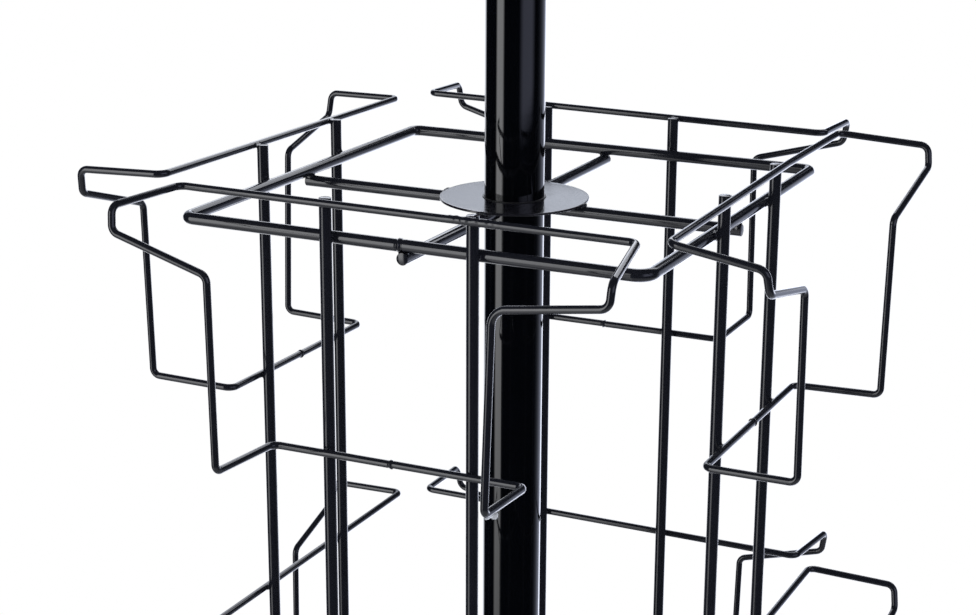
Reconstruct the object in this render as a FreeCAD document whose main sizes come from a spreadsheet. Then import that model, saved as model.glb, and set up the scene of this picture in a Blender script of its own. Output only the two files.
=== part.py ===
import FreeCAD, Part
import Sketcher
import math
import os

# Rotating floor display rack: a square wire cage with merchandise pockets on its four
# sides turns on a ball thrust bearing around a fixed round pole, on a four-leg base.
# Millimetres. +Z is up, the origin is on the floor on the pole's axis, and -Y is the front.

V = FreeCAD.Vector
X_AXIS, Y_AXIS, Z_AXIS = V(1, 0, 0), V(0, 1, 0), V(0, 0, 1)
doc = FreeCAD.newDocument("DisplayRack")

# ---------------------------------------------------------------- driving dimensions
DIMENSIONS = {
    # clearance left between touching parts
    "weld_gap": 0.02,
    # pole and its cap
    "pole_radius": 25.4, "pole_wall": 1.6, "pole_foot_z": 20.02, "pole_top_z": 1470.0,
    "cap_lip": 26.0, "cap_height": 5.0, "cap_plug_radius": 23.7, "cap_plug_length": 16.0,
    # cage rings: centre heights of the wire, half width, corner bends (near: top front right)
    "ring_top_z": 1180.0, "ring_bottom_z": 176.35, "ring_half": 199.3,
    "ring_bend": 8.5, "ring_near_bend": 12.0, "frame_wire_radius": 4.95,
    # uprights, two to a side, outside the rings
    "upright_along": 63.2, "upright_rise": 33.2, "upright_drop": 8.0,
    # spokes under the rings
    "spoke_inner": 36.0, "spoke_outer": 203.0,
    # discs: the top one lies on its spokes, the bottom one hangs under its spokes
    "disc_radius": 63.5, "disc_bore": 26.6, "disc_thickness": 2.0,
    "bottom_disc_thickness": 3.0,
    # guide bushings
    "bushing_bore": 25.46, "bushing_spigot": 26.55, "bushing_flange": 33.0,
    "bushing_flange_thickness": 3.0, "bushing_sleeve": 29.5, "bushing_sleeve_length": 22.0,
    "bushing_skirt_drop": 2.6, "liner_lip": 26.95, "liner_lip_thickness": 0.6,
    # ball thrust bearing
    "race_outer": 39.0, "race_bore_upper": 26.6, "race_bore_lower": 25.6,
    "race_thickness": 3.5, "race_gap": 3.6, "ball_radius": 3.175, "ball_pitch_radius": 33.0,
    "groove_radius": 3.2, "ball_count": 16,
    "retainer_bore": 28.6, "retainer_outer": 37.4, "retainer_thickness": 1.6,
    # support collar and its grub screws
    "collar_bore": 25.42, "collar_outer": 38.1, "collar_height": 22.0, "collar_chamfer": 1.2,
    "grub_radius": 4.0, "grub_length": 10.0, "grub_clearance": 0.03,
    "grub_socket": 2.0, "grub_socket_depth": 4.0,
    # base hub and bolts
    "hub_outer": 31.75, "hub_bore": 25.45, "hub_foot_z": 17.0, "hub_floor": 3.0,
    "hub_top_z": 122.0, "hub_bolt_z": 98.0,
    "bolt_radius": 4.0, "bolt_head_flats": 13.0, "bolt_head_height": 5.3,
    # legs and the plugs in their ends; leg_root is where the tube starts before coping
    "leg_width": 25.4, "leg_height": 50.8, "leg_wall": 2.0, "leg_root": 20.0,
    "leg_reach": 360.0, "leg_foot_z": 20.0, "leg_corner": 3.0,
    "leg_cap_thickness": 3.5, "leg_plug_length": 13.0, "leg_plug_clearance": 0.03,
    # levelling feet
    "foot_reach": 334.0, "stem_radius": 4.95, "stem_foot_z": 4.0, "stem_top_z": 50.0,
    "stem_hole": 5.6, "stem_hex_flats": 13.0, "stem_hex_height": 4.0,
    "nut_bore": 5.0, "nut_flats": 17.0, "locknut_height": 5.5, "weldnut_height": 8.0,
    "pad_radius": 19.0, "pad_rim": 3.0, "pad_neck": 9.0, "pad_height": 9.5,
    # pocket wire; the kink is an extra bend in the rim, just past an upright
    "pocket_wire_radius": 3.05, "pocket_bend": 8.0, "pocket_knee_bend": 6.5,
    "front_elbow_bend": 14.0, "kink_bend": 60.0, "kink_past_upright": 7.0,
    "tier_pitch": 411.4,
    # nominal bend points of half a pocket, from the tier's datum
    "rim_along": 196.7, "rim_up": 32.04,
    "horn_along": 202.6, "horn_out": 296.9, "horn_up": 27.52,
    "tip_along": 198.9, "tip_out": 299.85, "tip_up": 6.35,
    "elbow_along": 116.6, "elbow_out": 295.5, "elbow_up": -15.17,
    "knee_along": 113.4, "knee_out": 295.3, "knee_up": -171.45,
    "heel_along": 111.8, "heel_up": -174.07,
}

# Sides of the rack with their outward directions, legs with theirs, in degrees
SIDES = (("front", -90.0), ("right", 0.0), ("back", 90.0), ("left", 180.0))
LEGS = (("front_right", -45.0), ("back_right", 45.0),
        ("back_left", 135.0), ("front_left", -135.0))
# Halves of a side as seen from outside the rack, with their sign along it
HALVES = (("left", -1), ("right", 1))

# Forming offsets of the hand-bent pockets: (along, out, up) added to the nominal bend
# points in the order of POINTS, left half then right half.
POINTS = ("rim", "horn", "tip", "elbow", "knee", "heel")
AXES = ("along", "out", "up")
FORMING = {
    "front": (
        ((-6.08, 0, -0.87), (-3.31, -0.41, 3.14), (-1.09, -0.25, 4.86),
         (0.01, 0.01, 0.41), (1.07, 0.16, 0.34), (-0.94, 0, 0.78)),
        ((1.2, 0, -2.6), (9, 0.37, -6.2), (11.49, -0.7, -3.14),
         (3.37, -0.2, 5.09), (1.41, -0.03, 5.75), (-0.01, 0, 2.29))),
    "right": (
        ((9.4, 0, -3.3), (4.56, -5.94, -9.8), (4.3, -7.0, -7.2),
         (3.5, -2.05, -1.94), (2.55, -1.62, -0.67), (0.7, 0, 0.43)),
        ((6.41, 4.2, 2.84), (5.24, 3.54, 2.49), (5.53, 2.89, 5.77),
         (1.59, 0.88, -1.31), (0.59, 0, 0.33), (4.12, 0, -0.04))),
    "back": (
        ((6.18, 0, -1.76), (0.04, 0.06, -0.5), (-0.58, -0.05, 0.08),
         (-2.44, -0.12, -0.7), (2.67, 0.17, -0.29), (0.59, 0, -0.99)),
        ((-6.1, 0, 2), (-2.2, 0.29, 1.04), (-0.66, 0.16, 0.98),
         (-0.2, 0.07, 0.71), (0, 0, 0), (0, 0, -1.39))),
    "left": (
        ((0.27, 0, -2.34), (3.87, -1.05, -0.46), (5.5, -1.6, -1.78),
         (2.62, -0.61, -0.01), (-0.24, -0.03, -1.98), (5.84, 0, -2.83)),
        ((5.82, 0, 2.14), (-0.21, 0.5, 3.27), (-1.21, 0.31, 3.04),
         (2.29, 0.78, -0.3), (1.38, 0.73, -0.54), (-1.11, 0, -0.09))),
}


def fill_sheet():
    """Spreadsheet of every dimension and forming offset, each with its alias."""
    values = dict(DIMENSIONS)
    for side, halves in FORMING.items():
        for (hand, sign), moves in zip(HALVES, halves):
            for point, move in zip(POINTS, moves):
                for axis, value in zip(AXES, move):
                    values[f"{side}_{hand}_{point}_{axis}"] = value
    cells = doc.addObject("Spreadsheet::Sheet", "Dimensions")
    for row, (name, value) in enumerate(values.items(), 1):
        cells.set(f"A{row}", name)
        cells.set(f"B{row}", repr(float(value)))
        cells.setAlias(f"B{row}", name)
    doc.recompute()
    return cells


sheet = fill_sheet()


# ---------------------------------------------------------------- sizes that carry their formula
class Size:
    """A number with the spreadsheet formula that gives it."""

    def __init__(self, value, text):
        self.value = float(value)
        self.text = text

    def _with(self, other, sign, value):
        return Size(value, f"({self.text} {sign} {other.text})")

    def __add__(self, other):
        other = as_size(other)
        return self._with(other, "+", self.value + other.value)

    def __sub__(self, other):
        other = as_size(other)
        return self._with(other, "-", self.value - other.value)

    def __mul__(self, other):
        other = as_size(other)
        return self._with(other, "*", self.value * other.value)

    def __truediv__(self, other):
        other = as_size(other)
        return self._with(other, "/", self.value / other.value)

    def __rsub__(self, other):
        return as_size(other) - self

    def __neg__(self):
        return 0 - self

    def is_driven(self):
        return "Dimensions" in self.text


def as_size(number):
    return number if isinstance(number, Size) else Size(number, repr(float(number)))


def num(name):
    return float(getattr(sheet, name))


def dim(name):
    return Size(num(name), "Dimensions." + name)


def bind(obj, prop, amount):
    obj.setExpression(prop, as_size(amount).text)


# ---------------------------------------------------------------- directions and placement
NO_TURN = FreeCAD.Rotation()
Z_TO_X = FreeCAD.Rotation(Y_AXIS, 90)


def about_z(angle):
    return FreeCAD.Rotation(Z_AXIS, angle)


def radial(angle):
    """Rotation that lays a Z-axis shape along the outward radius at this angle."""
    return about_z(angle) * Z_TO_X


def polar(radius, angle):
    """x and y at this radius and angle."""
    turn = math.radians(angle)
    radius = as_size(radius)
    return radius * round(math.cos(turn), 12), radius * round(math.sin(turn), 12)


def side_xy(angle, out, along):
    """x and y on the side facing this angle: out from the axis, along to its right."""
    out_x = round(math.cos(math.radians(angle)))
    out_y = round(math.sin(math.radians(angle)))
    return out * out_x + along * -out_y, out * out_y + along * out_x


def place(obj, x=0, y=0, z=0, turn=NO_TURN):
    """Placement with bound x, y, z and a fixed rotation."""
    base = {"x": as_size(x), "y": as_size(y), "z": as_size(z)}
    obj.Placement = FreeCAD.Placement(V(*(part.value for part in base.values())), turn)
    for axis, amount in base.items():
        if amount.is_driven():
            bind(obj, "Placement.Base." + axis, amount)
    return obj


# ---------------------------------------------------------------- solids and booleans
def primitive(kind, name, sizes, **where):
    """A Part primitive with each of its sizes bound."""
    solid = doc.addObject("Part::" + kind, name)
    for prop, amount in sizes.items():
        bind(solid, prop, amount)
    return place(solid, **where)


def cylinder(name, radius, height, **where):
    return primitive("Cylinder", name, {"Radius": radius, "Height": height}, **where)


def torus(name, centreline, section, **where):
    return primitive("Torus", name, {"Radius1": centreline, "Radius2": section}, **where)


def hex_prism(name, flats, height, **where):
    """A hexagonal prism given by its width across flats."""
    sizes = {"Circumradius": flats / math.sqrt(3), "Height": height}
    solid = primitive("Prism", name, sizes, **where)
    solid.Polygon = 6
    return solid


def cut(name, base, tool):
    result = doc.addObject("Part::Cut", name)
    result.Base = base
    result.Tool = tool
    return result


def fuse(name, shapes):
    result = doc.addObject("Part::MultiFuse", name)
    result.Shapes = shapes
    return result


def group(name, shapes):
    result = doc.addObject("Part::Compound", name)
    result.Links = shapes
    return result


# ---------------------------------------------------------------- sketches and bodies
# Sketcher's numbers for a line's ends, a circle's centre, the root point and the two axes
START, END, CENTRE = 1, 2, 3
ROOT = (-1, 1)
X_LINE, Y_LINE = -1, -2


def sketch_in(body, role, name):
    sketch = body.newObject("Sketcher::SketchObject", name)
    plane = [feature for feature in body.Origin.OriginFeatures if feature.Role == role][0]
    sketch.AttachmentSupport = [(plane, "")]
    sketch.MapMode = "FlatFace"
    return sketch


def constrain(sketch, kind, where, amount):
    """A dimensional constraint, bound when its amount comes from the spreadsheet."""
    index = sketch.addConstraint(Sketcher.Constraint(kind, *where, amount.value))
    if amount.is_driven():
        bind(sketch, f"Constraints[{index}]", amount)


def add_line(sketch, start, end):
    sketch.addGeometry(Part.LineSegment(V(*start, 0), V(*end, 0)), False)


def polygon(sketch, points):
    """A closed polygon whose corner coordinates are all constrained."""
    corners = [(as_size(x), as_size(y)) for x, y in points]
    count = len(corners)
    for i in range(count):
        add_line(sketch, *([part.value for part in corners[j]] for j in (i, (i + 1) % count)))
    for i in range(count):
        sketch.addConstraint(
            Sketcher.Constraint("Coincident", i, END, (i + 1) % count, START))
    for i, (x, y) in enumerate(corners):
        for kind, amount, axis in (("DistanceX", x, Y_LINE), ("DistanceY", y, X_LINE)):
            if abs(amount.value) < 1e-9:
                sketch.addConstraint(Sketcher.Constraint("PointOnObject", i, START, axis))
            else:
                constrain(sketch, kind, (*ROOT, i, START), amount)


def circle(sketch, radius):
    """A circle centred on the sketch's origin."""
    index = sketch.addGeometry(Part.Circle(V(0, 0, 0), Z_AXIS, radius.value), False)
    constrain(sketch, "Radius", (index,), radius)
    for axis in (Y_LINE, X_LINE):
        sketch.addConstraint(Sketcher.Constraint("PointOnObject", index, CENTRE, axis))


def rounded_rectangle(sketch, width, height, corner):
    """Rounded rectangle standing on the X axis, centred on the Y axis."""
    right, top, radius = width.value / 2, height.value, corner.value
    inset, shoulder = right - radius, top - radius
    for start, end in (((-inset, 0), (inset, 0)), ((right, radius), (right, shoulder)),
                       ((inset, top), (-inset, top)), ((-right, shoulder), (-right, radius))):
        add_line(sketch, start, end)
    for x, y, angle in ((inset, radius, -90), (inset, shoulder, 0),
                        (-inset, shoulder, 90), (-inset, radius, 180)):
        whole = Part.Circle(V(x, y, 0), Z_AXIS, radius)
        arc = Part.ArcOfCircle(whole, math.radians(angle), math.radians(angle + 90))
        sketch.addGeometry(arc, False)
    # Geometry 0 to 3 is the bottom, right, top and left line; 4 to 7 are the arcs after them.
    for i in range(4):
        sketch.addConstraint(Sketcher.Constraint("Tangent", i, END, 4 + i, START))
        sketch.addConstraint(Sketcher.Constraint("Tangent", 4 + i, END, (i + 1) % 4, START))
    for kind, lines in (("Horizontal", (0, 2)), ("Vertical", (1, 3))):
        for i in lines:
            sketch.addConstraint(Sketcher.Constraint(kind, i))
    for i in (5, 6, 7):
        sketch.addConstraint(Sketcher.Constraint("Equal", 4, i))
    constrain(sketch, "Radius", (4,), corner)
    constrain(sketch, "DistanceX", (3, START, 1, START), width)
    constrain(sketch, "DistanceX", (*ROOT, 1, START), width / 2)
    constrain(sketch, "DistanceY", (0, START, 2, START), height)
    sketch.addConstraint(Sketcher.Constraint("PointOnObject", 0, START, X_LINE))


def turned(name, points):
    """A body of revolution about Z from a closed (radius, height) profile."""
    body = doc.addObject("PartDesign::Body", name)
    sketch = sketch_in(body, "XZ_Plane", name + "_profile")
    polygon(sketch, points)
    revolution = body.newObject("PartDesign::Revolution", name + "_turned")
    revolution.Profile = sketch
    revolution.ReferenceAxis = (sketch, ["V_Axis"])
    revolution.Angle = 360.0
    body.Tip = revolution
    return body


def pad_section(body, sketch, length):
    pad = body.newObject("PartDesign::Pad", body.Name + "_pad")
    pad.Profile = sketch
    bind(pad, "Length", length)
    body.Tip = pad
    return body


def padded_ring(name, outer, inner, height):
    """A flat ring or tube standing on the XY plane."""
    body = doc.addObject("PartDesign::Body", name)
    sketch = sketch_in(body, "XY_Plane", name + "_section")
    circle(sketch, outer)
    circle(sketch, inner)
    return pad_section(body, sketch, height)


def rounded_bar(name, width, height, corner, length):
    """Rounded rectangular bar along +X from the origin, standing on z = 0."""
    body = doc.addObject("PartDesign::Body", name)
    sketch = sketch_in(body, "YZ_Plane", name + "_section")
    rounded_rectangle(sketch, width, height, corner)
    return pad_section(body, sketch, length)


PIECES = []


def keep(obj, label):
    """Marks an object as a finished piece to export under this label."""
    obj.Label = label
    PIECES.append(obj)


gap = dim("weld_gap")
pole_radius = dim("pole_radius")
wire_radius = dim("frame_wire_radius")
hub_outer = dim("hub_outer")
OVERRUN = 1.0  # how far a cutting tool or a joined part runs past a face


# ---------------------------------------------------------------- pole and cap
def build_pole():
    foot = dim("pole_foot_z")
    tube = padded_ring("Pole", pole_radius, pole_radius - dim("pole_wall"),
                       dim("pole_top_z") - foot)
    keep(place(tube, z=foot), "pole")


def build_pole_cap():
    lip, top = dim("cap_lip"), dim("cap_height")
    plug, depth = dim("cap_plug_radius"), dim("cap_plug_length")
    cap = turned("PoleCap", [
        (0, -depth), (plug - 1.0, -depth), (plug, 1.5 - depth), (plug, 0.0),
        (lip, 0.0), (lip, top - 2.6), (lip - 0.8, top - 1.3), (lip - 2.6, top - 0.4),
        (lip - 6.0, top), (0, top)])
    keep(place(cap, z=dim("pole_top_z") + gap), "pole_cap")


# ---------------------------------------------------------------- base hub and its bolts
def build_hub():
    """A cup for the pole, drilled right through along X and along Y."""
    bore, floor = dim("hub_bore"), dim("hub_floor")
    height = dim("hub_top_z") - dim("hub_foot_z")
    hub = turned("BaseHub", [
        (0, 0), (hub_outer - 1.0, 0), (hub_outer, 1.0), (hub_outer, height - 1.2),
        (hub_outer - 1.2, height), (bore + 0.8, height), (bore, height - 0.8),
        (bore, floor), (0, floor)])
    place(hub, z=dim("hub_foot_z"))
    reach = hub_outer + 6.0
    radius, z = dim("bolt_radius") + gap, dim("hub_bolt_z")
    holes = fuse("HubBoltHoles", [
        cylinder("HubHoleX", radius, reach * 2, x=-reach, z=z, turn=Z_TO_X),
        cylinder("HubHoleY", radius, reach * 2, y=reach, z=z,
                 turn=FreeCAD.Rotation(X_AXIS, 90))])
    keep(cut("BaseHubDrilled", hub, holes), "base_hub")


def hub_bolt(k):
    """Bolt at k quarter turns: a shank and a hexagonal head chamfered by a cone."""
    angle = 90.0 * k
    z, turn = dim("hub_bolt_z"), radial(angle)
    flats, height = dim("bolt_head_flats"), dim("bolt_head_height")
    x, y = polar(pole_radius + gap, angle)
    shank = cylinder(f"HubBoltShank{k}", dim("bolt_radius"),
                     hub_outer - pole_radius + OVERRUN, x=x, y=y, z=z, turn=turn)
    x, y = polar(hub_outer + gap, angle)
    head = hex_prism(f"HubBoltHead{k}", flats, height, x=x, y=y, z=z, turn=turn)
    crown_sizes = {"Radius1": flats * 0.5 + height * 1.7320508,  # tangent of 60 degrees
                   "Radius2": flats * 0.5 - 0.35,
                   "Height": height + 0.2}
    crown = primitive("Cone", f"HubBoltCrown{k}", crown_sizes, x=x, y=y, z=z, turn=turn)
    chamfered = doc.addObject("Part::MultiCommon", f"HubBoltHex{k}")
    chamfered.Shapes = [head, crown]
    return fuse(f"HubBolt{k}", [chamfered, shank])


# ---------------------------------------------------------------- legs and levelling feet
leg_width, leg_height, leg_wall = dim("leg_width"), dim("leg_height"), dim("leg_wall")
leg_corner, leg_foot = dim("leg_corner"), dim("leg_foot_z")
bore_width = leg_width - leg_wall * 2
bore_height = leg_height - leg_wall * 2
bore_corner = leg_corner - leg_wall


def build_leg(tag, angle):
    """Rectangular tube coped to the hub, with a hole for the foot in its lower wall."""
    cope_overrun = 5.0
    reach, root = dim("leg_reach"), dim("leg_root")
    x, y = polar(root, angle)
    outer = rounded_bar("LegOuter_" + tag, leg_width, leg_height, leg_corner, reach - root)
    place(outer, x=x, y=y, z=leg_foot, turn=about_z(angle))
    inner = rounded_bar("LegInner_" + tag, bore_width, bore_height, bore_corner, reach)
    place(inner, x=x, y=y, z=leg_foot + leg_wall, turn=about_z(angle))
    cope = cylinder("LegCope_" + tag, hub_outer + gap, leg_height + cope_overrun * 2,
                    z=leg_foot - cope_overrun)
    x, y = polar(dim("foot_reach"), angle)
    hole = cylinder("LegHole_" + tag, dim("stem_hole"), leg_wall + OVERRUN * 2,
                    x=x, y=y, z=leg_foot - OVERRUN)
    void = fuse("LegVoid_" + tag, [inner, cope, hole])
    keep(cut("Leg_" + tag, outer, void), "leg_" + tag)


def leg_cap(tag, angle):
    """Plug that closes the tube's outer end."""
    face_reach = dim("leg_reach") + gap
    length, clearance = dim("leg_plug_length"), dim("leg_plug_clearance")
    x, y = polar(face_reach, angle)
    face = rounded_bar("LegCapFace_" + tag, leg_width, leg_height, leg_corner,
                       dim("leg_cap_thickness"))
    place(face, x=x, y=y, z=leg_foot, turn=about_z(angle))
    x, y = polar(face_reach - length, angle)
    plug = rounded_bar("LegCapPlug_" + tag, bore_width - clearance * 2,
                       bore_height - clearance * 2, bore_corner, length + OVERRUN)
    place(plug, x=x, y=y, z=leg_foot + leg_wall + clearance, turn=about_z(angle))
    return fuse("LegCap_" + tag, [face, plug])


def foot_nut(word, tag, angle, low, height):
    x, y = polar(dim("foot_reach"), angle)
    block = hex_prism(f"{word}_hex_{tag}", dim("nut_flats"), height,
                      x=x, y=y, z=low, turn=about_z(angle))
    bore = cylinder(f"{word}_bore_{tag}", dim("nut_bore"), height + OVERRUN * 2,
                    x=x, y=y, z=low - OVERRUN)
    return cut(f"{word}_{tag}", block, bore)


def weld_nut(tag, angle):
    """Nut inside the tube, on its lower wall."""
    low = leg_foot + leg_wall + gap
    return foot_nut("WeldNut", tag, angle, low, dim("weldnut_height"))


def lock_nut(tag, angle):
    """Nut under the tube."""
    height = dim("locknut_height")
    return foot_nut("LockNut", tag, angle, leg_foot - height - gap, height)


def build_foot(tag, angle):
    """Stem with a hexagon, standing in the bore of its pad."""
    x, y = polar(dim("foot_reach"), angle)
    stem_foot, radius = dim("stem_foot_z"), dim("stem_radius")
    edge, neck, top = dim("pad_radius"), dim("pad_neck"), dim("pad_height")
    rod = cylinder("StemRod_" + tag, radius, dim("stem_top_z") - stem_foot,
                   x=x, y=y, z=stem_foot)
    hexagon = hex_prism("StemHex_" + tag, dim("stem_hex_flats"), dim("stem_hex_height"),
                        x=x, y=y, z=top + gap, turn=about_z(angle))
    keep(fuse("Stem_" + tag, [rod, hexagon]), "foot_stem_" + tag)
    pad = turned("Pad_" + tag, [
        (0, 0), (edge - 1.0, 0), (edge, 1.0), (edge, dim("pad_rim")),
        (neck + 5.0, top - 3.2), (neck + 1.0, top - 0.8), (neck, top),
        (radius + gap, top), (radius + gap, stem_foot - gap), (0, stem_foot - gap)])
    keep(place(pad, x=x, y=y), "foot_pad_" + tag)


build_pole()
build_pole_cap()
build_hub()
keep(group("HubBolts", [hub_bolt(k) for k in range(4)]), "hub_bolts")
for tag, angle in LEGS:
    build_leg(tag, angle)
    build_foot(tag, angle)
for name, label, build in (("LegCaps", "leg_end_caps", leg_cap),
                           ("WeldNuts", "foot_weld_nuts", weld_nut),
                           ("LockNuts", "foot_lock_nuts", lock_nut)):
    keep(group(name, [build(tag, angle) for tag, angle in LEGS]), label)

# ---------------------------------------------------------------- ball thrust bearing
# Heights down the stack, from the bottom disc to the support collar
bottom_disc_top = dim("ring_bottom_z") - wire_radius * 3 - gap * 2
bottom_disc_low = bottom_disc_top - dim("bottom_disc_thickness")
upper_race_low = bottom_disc_low - gap - dim("race_thickness")
ball_z = upper_race_low - dim("race_gap") / 2
lower_race_low = ball_z - dim("race_gap") / 2 - dim("race_thickness")
collar_low = lower_race_low - gap - dim("collar_height")


def race(name, bore, low):
    """Flat ring with the ball groove cut into it."""
    blank = padded_ring(name + "Blank", dim("race_outer"), bore, dim("race_thickness"))
    place(blank, z=low)
    groove = torus(name + "Groove", dim("ball_pitch_radius"), dim("groove_radius"), z=ball_z)
    return cut(name, blank, groove)


def ball_circle(word, radius):
    """One sphere at each ball position."""
    count = int(num("ball_count"))
    spheres = []
    for k in range(count):
        x, y = polar(dim("ball_pitch_radius"), 360.0 * k / count)
        spheres.append(primitive("Sphere", f"{word}{k}", {"Radius": radius},
                                 x=x, y=y, z=ball_z))
    return spheres


def build_retainer():
    thickness = dim("retainer_thickness")
    blank = padded_ring("RetainerBlank", dim("retainer_outer"), dim("retainer_bore"),
                        thickness)
    place(blank, z=ball_z - thickness / 2)
    seats = fuse("RetainerSeats", ball_circle("BallSeat", dim("groove_radius")))
    keep(cut("Retainer", blank, seats), "bearing_retainer")


keep(race("LowerRace", dim("race_bore_lower"), lower_race_low), "bearing_lower_race")
keep(race("UpperRace", dim("race_bore_upper"), upper_race_low), "bearing_upper_race")
keep(group("BearingBalls", ball_circle("Ball", dim("ball_radius"))), "bearing_balls")
build_retainer()

# ---------------------------------------------------------------- support collar, grub screws
GRUB_ANGLES = (-60.0, -150.0)
TAP_INSET, TAP_LENGTH = 4.0, 20.0  # tap tool: start inside the collar's bore, and length
SOCKET_TOOL_LENGTH = 6.0
collar_middle = collar_low + dim("collar_height") / 2


def build_collar():
    bore, outer = dim("collar_bore"), dim("collar_outer")
    height, chamfer = dim("collar_height"), dim("collar_chamfer")
    collar = turned("Collar", [
        (bore, 0), (outer - chamfer, 0), (outer, chamfer), (outer, height - chamfer),
        (outer - chamfer, height), (bore, height)])
    place(collar, z=collar_low)
    taps = []
    for k, angle in enumerate(GRUB_ANGLES):
        x, y = polar(bore - TAP_INSET, angle)
        taps.append(cylinder(f"CollarTap{k}", dim("grub_radius") + gap, TAP_LENGTH,
                             x=x, y=y, z=collar_middle, turn=radial(angle)))
    keep(cut("CollarTapped", collar, fuse("CollarTaps", taps)), "support_collar")


def grub_screw(k, angle):
    """Plain rod with a hexagonal socket in its outer end."""
    length = dim("grub_length")
    x, y = polar(pole_radius + dim("grub_clearance"), angle)
    rod = cylinder(f"GrubRod{k}", dim("grub_radius"), length,
                   x=x, y=y, z=collar_middle, turn=radial(angle))
    x, y = polar(pole_radius + length - dim("grub_socket_depth"), angle)
    socket = hex_prism(f"GrubSocket{k}", dim("grub_socket") * 2, SOCKET_TOOL_LENGTH,
                       x=x, y=y, z=collar_middle, turn=radial(angle))
    return cut(f"Grub{k}", rod, socket)


build_collar()
grubs = [grub_screw(k, angle) for k, angle in enumerate(GRUB_ANGLES)]
keep(group("Grubs", grubs), "collar_set_screws")

# ---------------------------------------------------------------- discs and guide bushings
top_disc_low = dim("ring_top_z") - wire_radius
for name, label, thickness, low in (
        ("TopDisc", "top_disc", "disc_thickness", top_disc_low),
        ("BottomDisc", "bottom_disc", "bottom_disc_thickness", bottom_disc_low)):
    disc = padded_ring(name, dim("disc_radius"), dim("disc_bore"), dim(thickness))
    keep(place(disc, z=low), label)


def build_top_bushing():
    """Thin liner with a lip on both faces of the top disc."""
    bore, spigot, lip = dim("bushing_bore"), dim("bushing_spigot"), dim("liner_lip")
    lip_thickness = dim("liner_lip_thickness")
    through = dim("disc_thickness") + gap * 2
    bushing = turned("TopBushing", [
        (bore, -lip_thickness), (lip, -lip_thickness), (lip, 0.0), (spigot, 0.0),
        (spigot, through), (lip, through),
        (lip, through + lip_thickness), (bore, through + lip_thickness)])
    keep(place(bushing, z=top_disc_low - gap), "top_bushing")


def build_bottom_bushing():
    """Stands on the bottom disc; its skirt reaches down through disc and upper race."""
    bore, spigot = dim("bushing_bore"), dim("bushing_spigot")
    flange, sleeve = dim("bushing_flange"), dim("bushing_sleeve")
    flange_top, sleeve_top = dim("bushing_flange_thickness"), dim("bushing_sleeve_length")
    skirt = dim("bottom_disc_thickness") + dim("bushing_skirt_drop")
    bushing = turned("BottomBushing", [
        (bore, -skirt), (spigot, -skirt), (spigot, 0.0), (flange, 0.0),
        (flange, flange_top), (sleeve, flange_top), (sleeve, sleeve_top),
        (bore, sleeve_top)])
    keep(place(bushing, z=bottom_disc_top + gap), "bottom_bushing")


build_top_bushing()
build_bottom_bushing()

# ---------------------------------------------------------------- rings, spokes, uprights
ring_half = dim("ring_half")
upright_out = ring_half + wire_radius * 2 + gap
upright_low = dim("ring_bottom_z") - dim("upright_drop")


def ring(name, z, bends):
    """Square ring of bent wire; bends[k] is the corner radius at the right end of side k."""
    parts = []
    for k, (side, angle) in enumerate(SIDES):
        before, after = bends[k - 1], bends[k]
        x, y = side_xy(angle, ring_half, before - ring_half)
        parts.append(cylinder(f"{name}Side{k}", wire_radius, ring_half * 2 - before - after,
                              x=x, y=y, z=z, turn=radial(angle + 90.0)))
        x, y = side_xy(angle, ring_half - after, ring_half - after)
        corner = torus(f"{name}Corner{k}", after, wire_radius,
                       x=x, y=y, z=z, turn=about_z(angle))
        corner.Angle3 = 90.0
        parts.append(corner)
    return fuse(name, parts)


def build_spoke(level, side, angle):
    """Radial wire just under the ring of its level."""
    inner = dim("spoke_inner")
    x, y = polar(inner, angle)
    spoke = cylinder(f"Spoke_{level}_{side}", wire_radius, dim("spoke_outer") - inner,
                     x=x, y=y, z=dim(f"ring_{level}_z") - wire_radius * 2 - gap,
                     turn=radial(angle))
    keep(spoke, f"{level}_spoke_{side}")


def build_upright(side, angle, hand, sign):
    x, y = side_xy(angle, upright_out, dim("upright_along") * sign)
    height = dim("ring_top_z") + dim("upright_rise") - upright_low
    rod = cylinder(f"Upright_{side}_{hand}", wire_radius, height, x=x, y=y, z=upright_low)
    keep(rod, f"upright_{side}_{hand}")


bend = dim("ring_bend")
top_bends = (dim("ring_near_bend"), bend, bend, bend)
keep(ring("TopRing", dim("ring_top_z"), top_bends), "top_ring")
keep(ring("BottomRing", dim("ring_bottom_z"), (bend,) * 4), "bottom_ring")
for level in ("top", "bottom"):
    for side, angle in SIDES:
        build_spoke(level, side, angle)
for side, angle in SIDES:
    for hand, sign in HALVES:
        build_upright(side, angle, hand, sign)


# ---------------------------------------------------------------- pockets: one closed loop of wire each
def bent_loop(points, bends, radius):
    """Solid round wire along a closed chain of straight runs joined by circular bends."""
    count = len(points)
    runs, arcs = [], []
    trims = [0.0] * count  # length each bend takes off the runs on both sides of it
    directions = [(points[(i + 1) % count] - points[i]).normalize() for i in range(count)]
    for i in range(count):
        before, after = directions[i - 1], directions[i]
        angle = before.getAngle(after)
        if angle < 1e-4:
            continue
        trims[i] = bends[i] * math.tan(angle / 2)
        start = points[i] - before * trims[i]
        inward = (after - before * before.dot(after)).normalize()
        centre = start + inward * bends[i]
        section = Part.Face(Part.Wire(Part.makeCircle(radius, start, before)))
        axis = before.cross(after).normalize()
        arcs.append(section.revolve(centre, axis, math.degrees(angle)))
    for i in range(count):
        j = (i + 1) % count
        length = (points[j] - points[i]).Length - trims[i] - trims[j]
        start = points[i] + directions[i] * trims[i]
        runs.append(Part.makeCylinder(radius, length, start, directions[i]))
    joined = runs[0].multiFuse(runs[1:] + arcs)
    return joined.Solids[0] if len(joined.Solids) == 1 else joined


# Distance out at which a pocket's wire touches the uprights
seat = (upright_out + wire_radius + dim("pocket_wire_radius") + gap).value
SEAT_TOLERANCE = 0.5


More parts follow.
